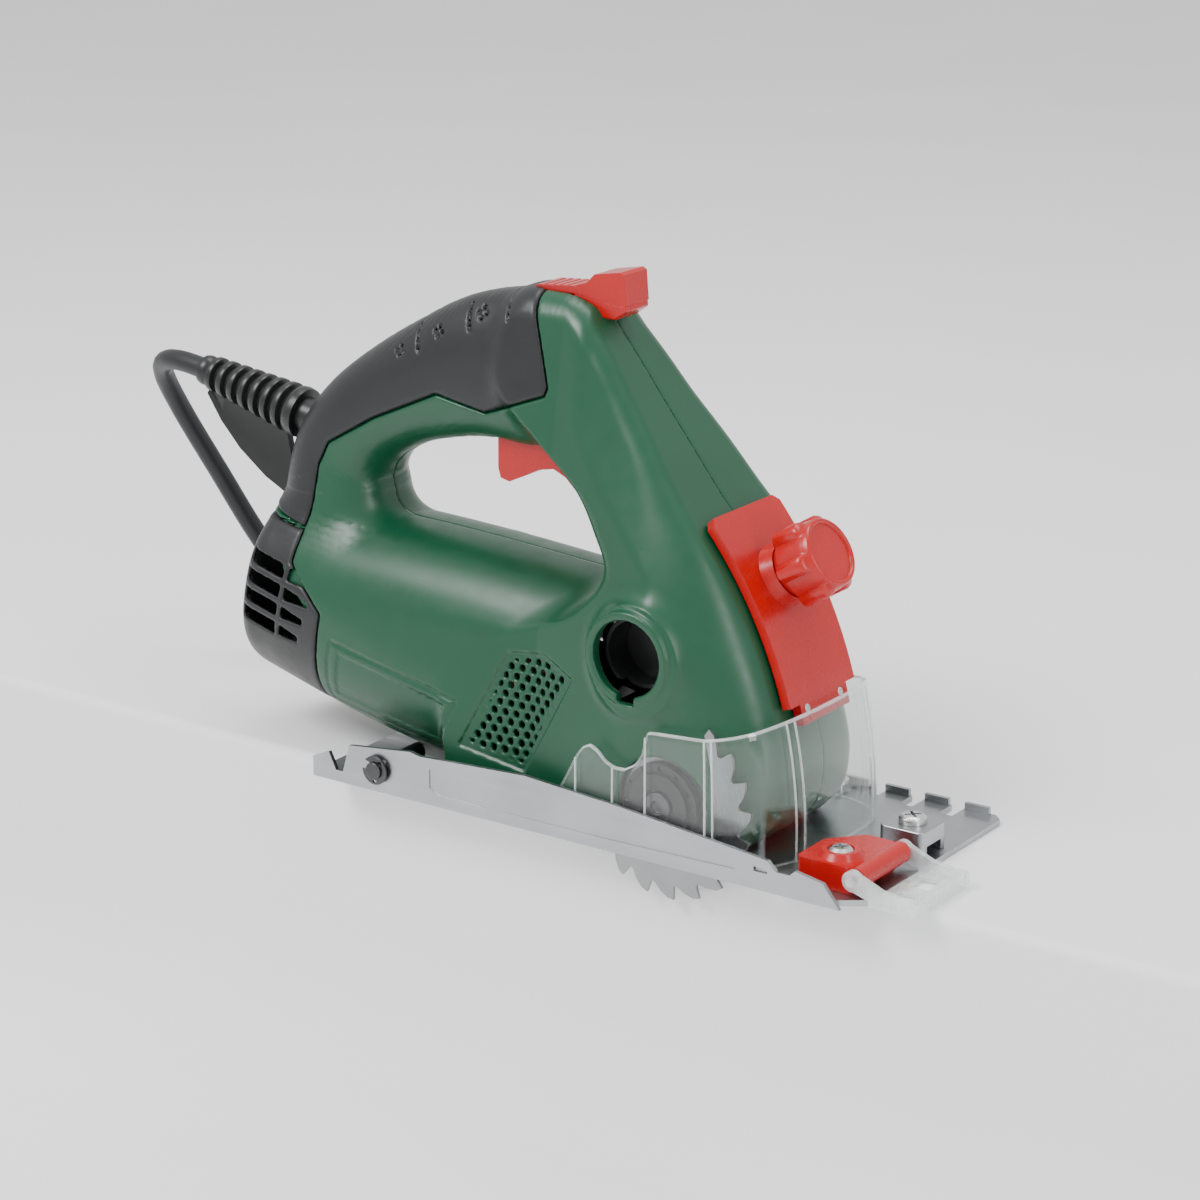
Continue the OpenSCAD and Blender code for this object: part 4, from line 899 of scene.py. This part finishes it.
def cut_controls(shell):
    """Openings for the trigger, the slider and the cord."""
    shell = without(shell, block(-57, -22.5, -7.6, 7.6, 98, 122.5), 0.8)
    shell = without(shell, block(-37.4, -15, -6.3, 6.3, 158, 172), 0.8)
    return without(shell, rod(RELIEF_FROM, RELIEF_AIM, 6.4, -30, 30), 0.5)


def add_posts(shell, outer):
    """Screw posts, sunk from the right side, and the slot behind the depth clamp."""
    for x, z, y in BOSSES:
        post = np.maximum(disc(x, z, 4.6), outer + 0.3)
        shell = join(shell, np.maximum(post, y - 4 - Y), 1.0)
        shell = without(shell, np.maximum(disc(x, z, 3.3), y - Y), 0.6)
    return without(shell, block(24, 62, -3.6, 3.6, 62, 92), 0.5)


def cut_air_holes(shell):
    """Slanting field of small holes in the right flank, and slots in the left."""
    field = zone(HOLE_FIELD)
    holes = np.full((len(XS), len(ZS)), FAR)
    for i in range(-12, 13):
        for j in range(-10, 11):
            hx, hz = -22 + 4.4 * i - 1.95 * j, 36 - 3.1 * j
            holes = np.minimum(holes, np.hypot(X2 - hx, Z2 - hz) - 1.15)
    holes = holes.astype(np.float32)[:, None, :]
    shell = without(shell, np.maximum(np.maximum(holes, field + 2.2), Y + 20), 0.3)
    for k in range(5):
        shell = without(shell, block(-44 + 8 * k, -41 + 8 * k, 20, 60, 34, 54), 0.8)
    return shell


def soft_grip(outer, grip_zone):
    """Soft grip, a little proud, with rounded borders, dots and slits."""
    grip = meet(outer - 0.12, grip_zone + 0.3, 1.6)
    grip = np.maximum(grip, -(outer + SOFT_T))
    right_skin = np.maximum(Y, -(outer + 0.8))
    for x, z in GRIP_DOTS:
        for du, dw in ((0, 1.7), (0, -1.7), (1.7, 0), (-1.7, 0)):
            dot = np.maximum(disc(x + du, z + dw * 0.9, 0.75), right_skin)
            grip = without(grip, dot, 0.3)
    for x, z, lean in GRIP_SLITS:
        along = (X2 - x) * math.cos(lean) + (Z2 - z) * math.sin(lean)
        across = -(X2 - x) * math.sin(lean) + (Z2 - z) * math.cos(lean)
        slit = np.maximum(np.abs(across) - 0.55, np.abs(along) - 4.5)[:, None, :]
        grip = without(grip, np.maximum(slit.astype(np.float32), right_skin), 0.3)
    return without(grip, rod(RELIEF_FROM, RELIEF_AIM, 9.0, -30, 40), 0.6)


def vent_frame(outer, rear_zone):
    rear = meet(outer - 0.1, rear_zone + 0.35, 1.4)
    rear = np.maximum(rear, -(outer + SOFT_T))
    return without(rear, np.maximum(vent_rows(), 3.2 - np.abs(Y)), 0.8)


def housing_fields():
    outer = outer_field()
    grip_zone, rear_zone = zone(GRIP), zone(REAR)
    shell = without(mark_flank(outer), outer + WALL, 0.5)
    shell = cut_chamber(cut_outlet(shell), outer)
    shell = cut_air_holes(add_posts(cut_controls(shell), outer))
    shell = without(shell, np.maximum(rear_zone + 6, 5 - np.abs(Y)), 0.6)
    soft = np.maximum(np.minimum(grip_zone, rear_zone) - 0.05, -(outer + SOFT_T + 0.1))
    shell = without(shell, soft, 0.9)
    grip, rear = soft_grip(outer, grip_zone), vent_frame(outer, rear_zone)
    for x, z, y in BOSSES:
        if x < -100:
            hole = np.maximum(disc(x, z, 3.6), 5 - Y)
            grip, rear = without(grip, hole, 0.6), without(rear, hole, 0.6)
    return shell, grip, rear


SHELL, GRIP_FIELD, REAR_FIELD = housing_fields()


def make_housing():
    """Two shells that meet at the seam, the grip skin and the vent frame."""
    seam = 0.06
    right = meet(SHELL, Y + seam, 0.4)
    left = meet(SHELL, seam - Y, 0.4)
    shell_piece("housing_right_shell", right, M["green"], "housing",
                ["housing_right"])
    shell_piece("housing_left_shell", left, M["green"], "housing",
                ["housing_left"])
    shell_piece("handle_grip_skin", GRIP_FIELD, M["grip"], "housing",
                ["handle_grip"])
    shell_piece("rear_vent_frame", REAR_FIELD, M["vent"], "housing",
                ["rear_vent_cap"])


make_housing()


# ------------------------------------------------------------------ clear guard
PIVOT = (-76, 8)
GUARD_PLAN = [(-3, -45.7), (20, -45.7), (44, -45.7), (54, -45.5), (61, -43.6), (66.4, -40),
              (70.6, -35), (74, -28), (76.6, -19), (77.8, -8), (78, 2), (77.8, 12), (76.6, 20),
              (73.4, 27), (68, 31.5), (60, 34), (50, 35)]
GUARD_TOP = [(-4, 14), (4, 29), (6.5, 32.4), (9.4, 34), (12.4, 32.6), (15.6, 29.6), (19, 28.2),
             (23, 28.4), (27, 30.8), (29.8, 35.2), (30.6, 40), (31.6, 42.4), (34, 42.8),
             (54, 44.2), (70, 46.6), (78, 48.4), (90, 49)]
GUARD_BASE = 2.05
GUARD_T = 1.6
GUARD_ROWS = 24
GUARD_LIP = 0.7
GUARD_SOFT = 0.45
ARC_FROM = 50
ARC_R = 154


def guard_lean(x, z):
    """The front wall leans back along an arc about the pivot."""
    if x <= ARC_FROM:
        return x
    reach = math.sqrt(ARC_R ** 2 - (z - PIVOT[1]) ** 2) + PIVOT[0] - ARC_FROM
    return ARC_FROM + (x - ARC_FROM) * reach / (ARC_R + PIVOT[0] - ARC_FROM)


def guard_walls():
    """The wall's outer and inner lines in plan, and its height along them."""
    curve = spline([(x, y, 0) for x, y in GUARD_PLAN], 10)
    plan, _ = even(curve, 0.9)
    tangent = np.gradient(plan, axis=0)
    tangent /= np.linalg.norm(tangent, axis=1)[:, None]
    inner = plan + GUARD_T * np.stack([-tangent[:, 1], tangent[:, 0], 0 * plan[:, 0]], axis=1)
    tops = [np.interp(x, [t[0] for t in GUARD_TOP], [t[1] for t in GUARD_TOP])
            for x in plan[:, 0]]
    return plan, inner, tops


def guard_verts(plan, inner, tops):
    """Both faces of the wall, row by row, drawn together a little at the top."""
    verts = []
    top_row = GUARD_ROWS - 1
    for i, high in enumerate(tops):
        for flat, other in ((plan, inner), (inner, plan)):
            for k in range(GUARD_ROWS):
                z = GUARD_BASE + (high - GUARD_LIP - GUARD_BASE) * k / (GUARD_ROWS - 2)
                p = flat[i]
                if k == top_row:
                    z = high
                    p = p + (other[i] - p) * (GUARD_SOFT / GUARD_T)
                verts.append((guard_lean(p[0], z), p[1], z))
    return verts


def make_guard():
    """Clear moulding: each face also says whether it is wall, 0, or rim, 1."""
    plan, inner, tops = guard_walls()
    n, top = len(plan), GUARD_ROWS - 1
    faces, kinds = [], []

    def at(i, side, k):
        return (2 * i + side) * GUARD_ROWS + k

    for i in range(n - 1):
        for k in range(top):
            kind = 1 if k == top - 1 else 0
            faces.append((at(i, 0, k), at(i + 1, 0, k), at(i + 1, 0, k + 1), at(i, 0, k + 1)))
            faces.append((at(i, 1, k), at(i, 1, k + 1), at(i + 1, 1, k + 1), at(i + 1, 1, k)))
            kinds += [kind, kind]
        faces.append((at(i, 0, top), at(i + 1, 0, top), at(i + 1, 1, top), at(i, 1, top)))
        faces.append((at(i, 0, 0), at(i, 1, 0), at(i + 1, 1, 0), at(i + 1, 0, 0)))
        kinds += [1, 1]
    for i in (0, n - 1):
        for k in range(top):
            quad = (at(i, 0, k), at(i, 0, k + 1), at(i, 1, k + 1), at(i, 1, k))
            faces.append(quad if i == 0 else quad[::-1])
            kinds.append(1)
    guard = piece("guard_moulding", guard_verts(plan, inner, tops), faces,
                  [M["clear"], M["rim"]], "base", sharp=45,
                  stands_for=["blade_guard"])
    for poly, kind in zip(guard.data.polygons, kinds):
        poly.material_index = kind
    return plan, tops


GUARD_PATH, GUARD_TOPS = make_guard()


# place in plan, width and height of each upright rib
GUARD_RIBS = [(4.5, -45.7, 0.8, 0.5), (18.4, -45.7, 0.8, 0.5), (30.9, -45.7, 0.9, 0.5),
              (53.2, -45.6, 1.0, 0.5), (56.4, -45.2, 0.9, 0.4), (75.9, -22.0, 0.9, 0.5),
              (74.9, -25.2, 0.9, 0.5), (76.9, 17.5, 0.9, 0.4), (76.1, 20.8, 0.9, 0.4)]


def make_guard_ribs():
    """Upright ribs on the guard's outer face."""
    verts, faces = [], []
    for want_x, want_y, width, stand in GUARD_RIBS:
        d = np.hypot(GUARD_PATH[:, 0] - want_x, GUARD_PATH[:, 1] - want_y)
        i = int(np.argmin(d))
        along = GUARD_PATH[min(i + 1, len(GUARD_PATH) - 1)] - GUARD_PATH[max(i - 1, 0)]
        along /= np.linalg.norm(along)
        out = np.array([along[1], -along[0], 0])
        first = len(verts)
        rows = 10
        for k in range(rows):
            z = GUARD_BASE + (GUARD_TOPS[i] - 0.6 - GUARD_BASE) * k / (rows - 1)
            lean = guard_lean(GUARD_PATH[i][0], z) - GUARD_PATH[i][0]
            for a, o in ((-0.34, -0.1), (-0.2, stand), (0.2, stand), (0.34, -0.1)):
                p = GUARD_PATH[i] + along * (a * width) + out * o
                verts.append((p[0] + lean, p[1], z))
        for k in range(rows - 1):
            for j in range(4):
                a, b = first + 4 * k + j, first + 4 * k + (j + 1) % 4
                faces.append((a, b, b + 4, a + 4))
        faces.append((first + 3, first + 2, first + 1, first))
        last = first + 4 * (rows - 1)
        faces.append((last, last + 1, last + 2, last + 3))
    piece("guard_ribs", verts, faces, M["rim"], "base", smooth=False)


make_guard_ribs()

# ------------------------------------------------------------------ clamp knob and slider
KNOB_AT = math.radians(31.4)
KNOB_FOOT = 155.4
KNOB_LOBES = 6
LOBE_HIGH = 2.3
LOBE_SINK = 0.4


def make_knob():
    """Knob with six broad lobes, a plain rim and a sunk face."""
    out = Vector((math.cos(KNOB_AT), 0, math.sin(KNOB_AT)))
    side = Vector((0, 1, 0))
    up = out.cross(side)
    centre = Vector((PIVOT[0], 0, PIVOT[1])) + out * KNOB_FOOT
    rings = [(0, 3.1, 0), (0, 9.2, 0), (0.4, 9.6, 0), (2.4, 9.6, 0), (2.5, 11.4, 1), (3.2, 12.3, 1),
             (11.8, 12.3, 1), (13, 12.1, 0.8), (13.6, 11.8, 0.35), (13.9, 11.6, 0.05),
             (15.6, 11.4, 0), (16.2, 10.9, 0), (16.3, 10.3, 0), (16.1, 9.8, 0), (15.4, 9.5, 0),
             (15.4, 0.05, 0)]
    sides = 144
    verts, faces = [], ring_faces(len(rings), sides)
    for z, r, lobe in rings:
        for j in range(sides):
            a = 2 * math.pi * j / sides
            wave = max(0.0, math.cos(KNOB_LOBES * a)) ** 0.5
            rr = r + lobe * (LOBE_HIGH * wave - LOBE_SINK)
            verts.append(centre + out * z + side * (rr * math.cos(a)) + up * (rr * math.sin(a)))
    piece("clamp_knob", verts, faces, M["red"], "depth_knob", sharp=50,
          stands_for=["depth_knob"])


make_knob()


def make_slider_skirt():
    """Lower lip of the lock slider, which closes its slot in front."""
    outline = [(-24, 169.4), (-6, 167.3), (-3.7, 167.9), (-3.4, 165.6), (-8, 162.4), (-14, 162.6),
               (-18, 166.2), (-24, 168.2)]
    verts, faces = [], []
    for y in (-6.4, 6.4):
        verts += [(x, y, z) for x, z in outline]
    n = len(outline)
    faces += [tuple(range(n)), tuple(range(2 * n - 1, n - 1, -1))]
    faces += [(j, j + n, (j + 1) % n + n, (j + 1) % n) for j in range(n)]
    skirt = piece("slider_skirt", verts, faces, M["red"], "lock_slider", sharp=30)
    add_bevel(skirt, 0.5, 2, 40)


make_slider_skirt()

# ------------------------------------------------------------------ parts that keep the CAD's shape
# node, material and width of its broken edges
REFINED = [("base_plate", "base", 0.35), ("guide_bracket", "base", 0.5),
           ("depth_guide", "red", 0.7), ("indicator_mount", "red", 0.5), ("trigger", "red", 0.7),
           ("lock_slider", "red", 0.5), ("cut_indicator", "rim", 0.3),
           ("outer_flange", "black", 0.35), ("blade_bolt", "dark", 0.25),
           ("pivot_pin_right", "dark", 0.25), ("pivot_pin_left", "dark", 0.25),
           ("pivot_clips", "dark", 0.12), ("guide_screw", "zinc", 0.2),
           ("indicator_screw", "zinc", 0.2), ("guard_screws", "zinc", 0.2),
           ("guide_rivets", "zinc", 0.25), ("housing_screws", "zinc", 0.2),
           ("blade", "blade", 0.08), ("inner_flange", "dark", 0.2), ("gear_case", "alloy", 0.5),
           ("knob_clamp_plate", "zinc", 0.3), ("switch_body", "black", 0.4),
           ("cord_clamp", "black", 0.3)]
for node, mat, edge in REFINED:
    refine(node, M[mat], edge)

PAINTED = {"knob_bolt": "zinc", "plunge_spring": "zinc", "chip_duct": "black", "spindle": "turned_y",
           "bevel_gear": "gear", "spindle_bearing_right": "turned_y",
           "spindle_bearing_left": "turned_y", "armature_shaft": "turned_motor", "pinion": "gear",
           "motor_bearing_front": "turned_motor", "motor_bearing_rear": "turned_motor",
           "cooling_fan": "black", "armature_core": "lamination", "armature_winding": "copper",
           "commutator": "copper_bar", "stator_core": "lamination", "field_coils": "copper",
           "brush_holders": "brass", "carbon_brushes": "carbon", "trigger_pin": "zinc",
           "trigger_spring": "zinc", "capacitor": "case"}
for node, mat in PAINTED.items():
    paint(node, M[mat])


# ------------------------------------------------------------------ studio
FLOOR_FAR = 2500
FLOOR_EDGE = -33
EDGE_R = 4
COVE_R = 60


def floor_profile():
    """The floor seen from the side: flat, over a round edge, down, and out along a cove."""
    profile = [(FLOOR_FAR, 0), (FLOOR_EDGE + EDGE_R, 0)]
    profile += [(FLOOR_EDGE + EDGE_R - EDGE_R * math.sin(a), -EDGE_R + EDGE_R * math.cos(a))
                for a in (math.radians(10 * k) for k in range(1, 10))]
    profile += [(FLOOR_EDGE, -COVE_R)]
    profile += [(FLOOR_EDGE - COVE_R + COVE_R * math.cos(a), -COVE_R - COVE_R * math.sin(a))
                for a in (math.radians(6 * k) for k in range(1, 16))]
    return profile + [(-FLOOR_FAR, -2 * COVE_R)]


def make_studio():
    """Pale plinth that the sole stands on, open in front where the blade reaches below it."""
    mat = Nodes("pale_floor")
    p = mat.principled(0.0, 0.3)
    mat.link(mat.between(mat.noise(6, 3), (0.86, 0.86, 0.86), (0.89, 0.89, 0.89)),
             p.inputs["Base Color"])
    p.inputs["Roughness"].default_value = 0.6
    profile = floor_profile()
    verts, faces = [], []
    for y, z in profile:
        verts += [(-FLOOR_FAR, y, z - 0.05), (FLOOR_FAR, y, z - 0.05)]
    for k in range(len(profile) - 1):
        faces.append((2 * k, 2 * k + 1, 2 * k + 3, 2 * k + 2))
    floor = piece("floor", verts, faces, mat.mat, None, sharp=60)
    world = bpy.data.worlds.new("studio")
    world.use_nodes = True
    background = world.node_tree.nodes["Background"].inputs
    background["Color"].default_value = (1, 1, 1, 1)
    background["Strength"].default_value = 1.0
    bpy.context.scene.world = world


def make_light(name, stand, aim, size, watts):
    data = bpy.data.lights.new(name, "AREA")
    data.shape = "RECTANGLE"
    data.size, data.size_y = size
    data.energy = watts
    lamp = place(name, data)
    lamp.location = Vector(stand)
    lamp.rotation_mode = "QUATERNION"
    lamp.rotation_quaternion = (Vector(aim) - Vector(stand)).to_track_quat("-Z", "Y")


make_studio()
make_light("key", (-0.5, -0.9, 1.2), (0, 0, 0.06), (0.6, 0.6), 20)
make_light("side", (1.1, -0.3, 0.5), (0, 0, 0.08), (0.25, 0.9), 5)
make_light("top", (0.0, 0.3, 1.3), (0, 0, 0.05), (0.9, 0.5), 8)
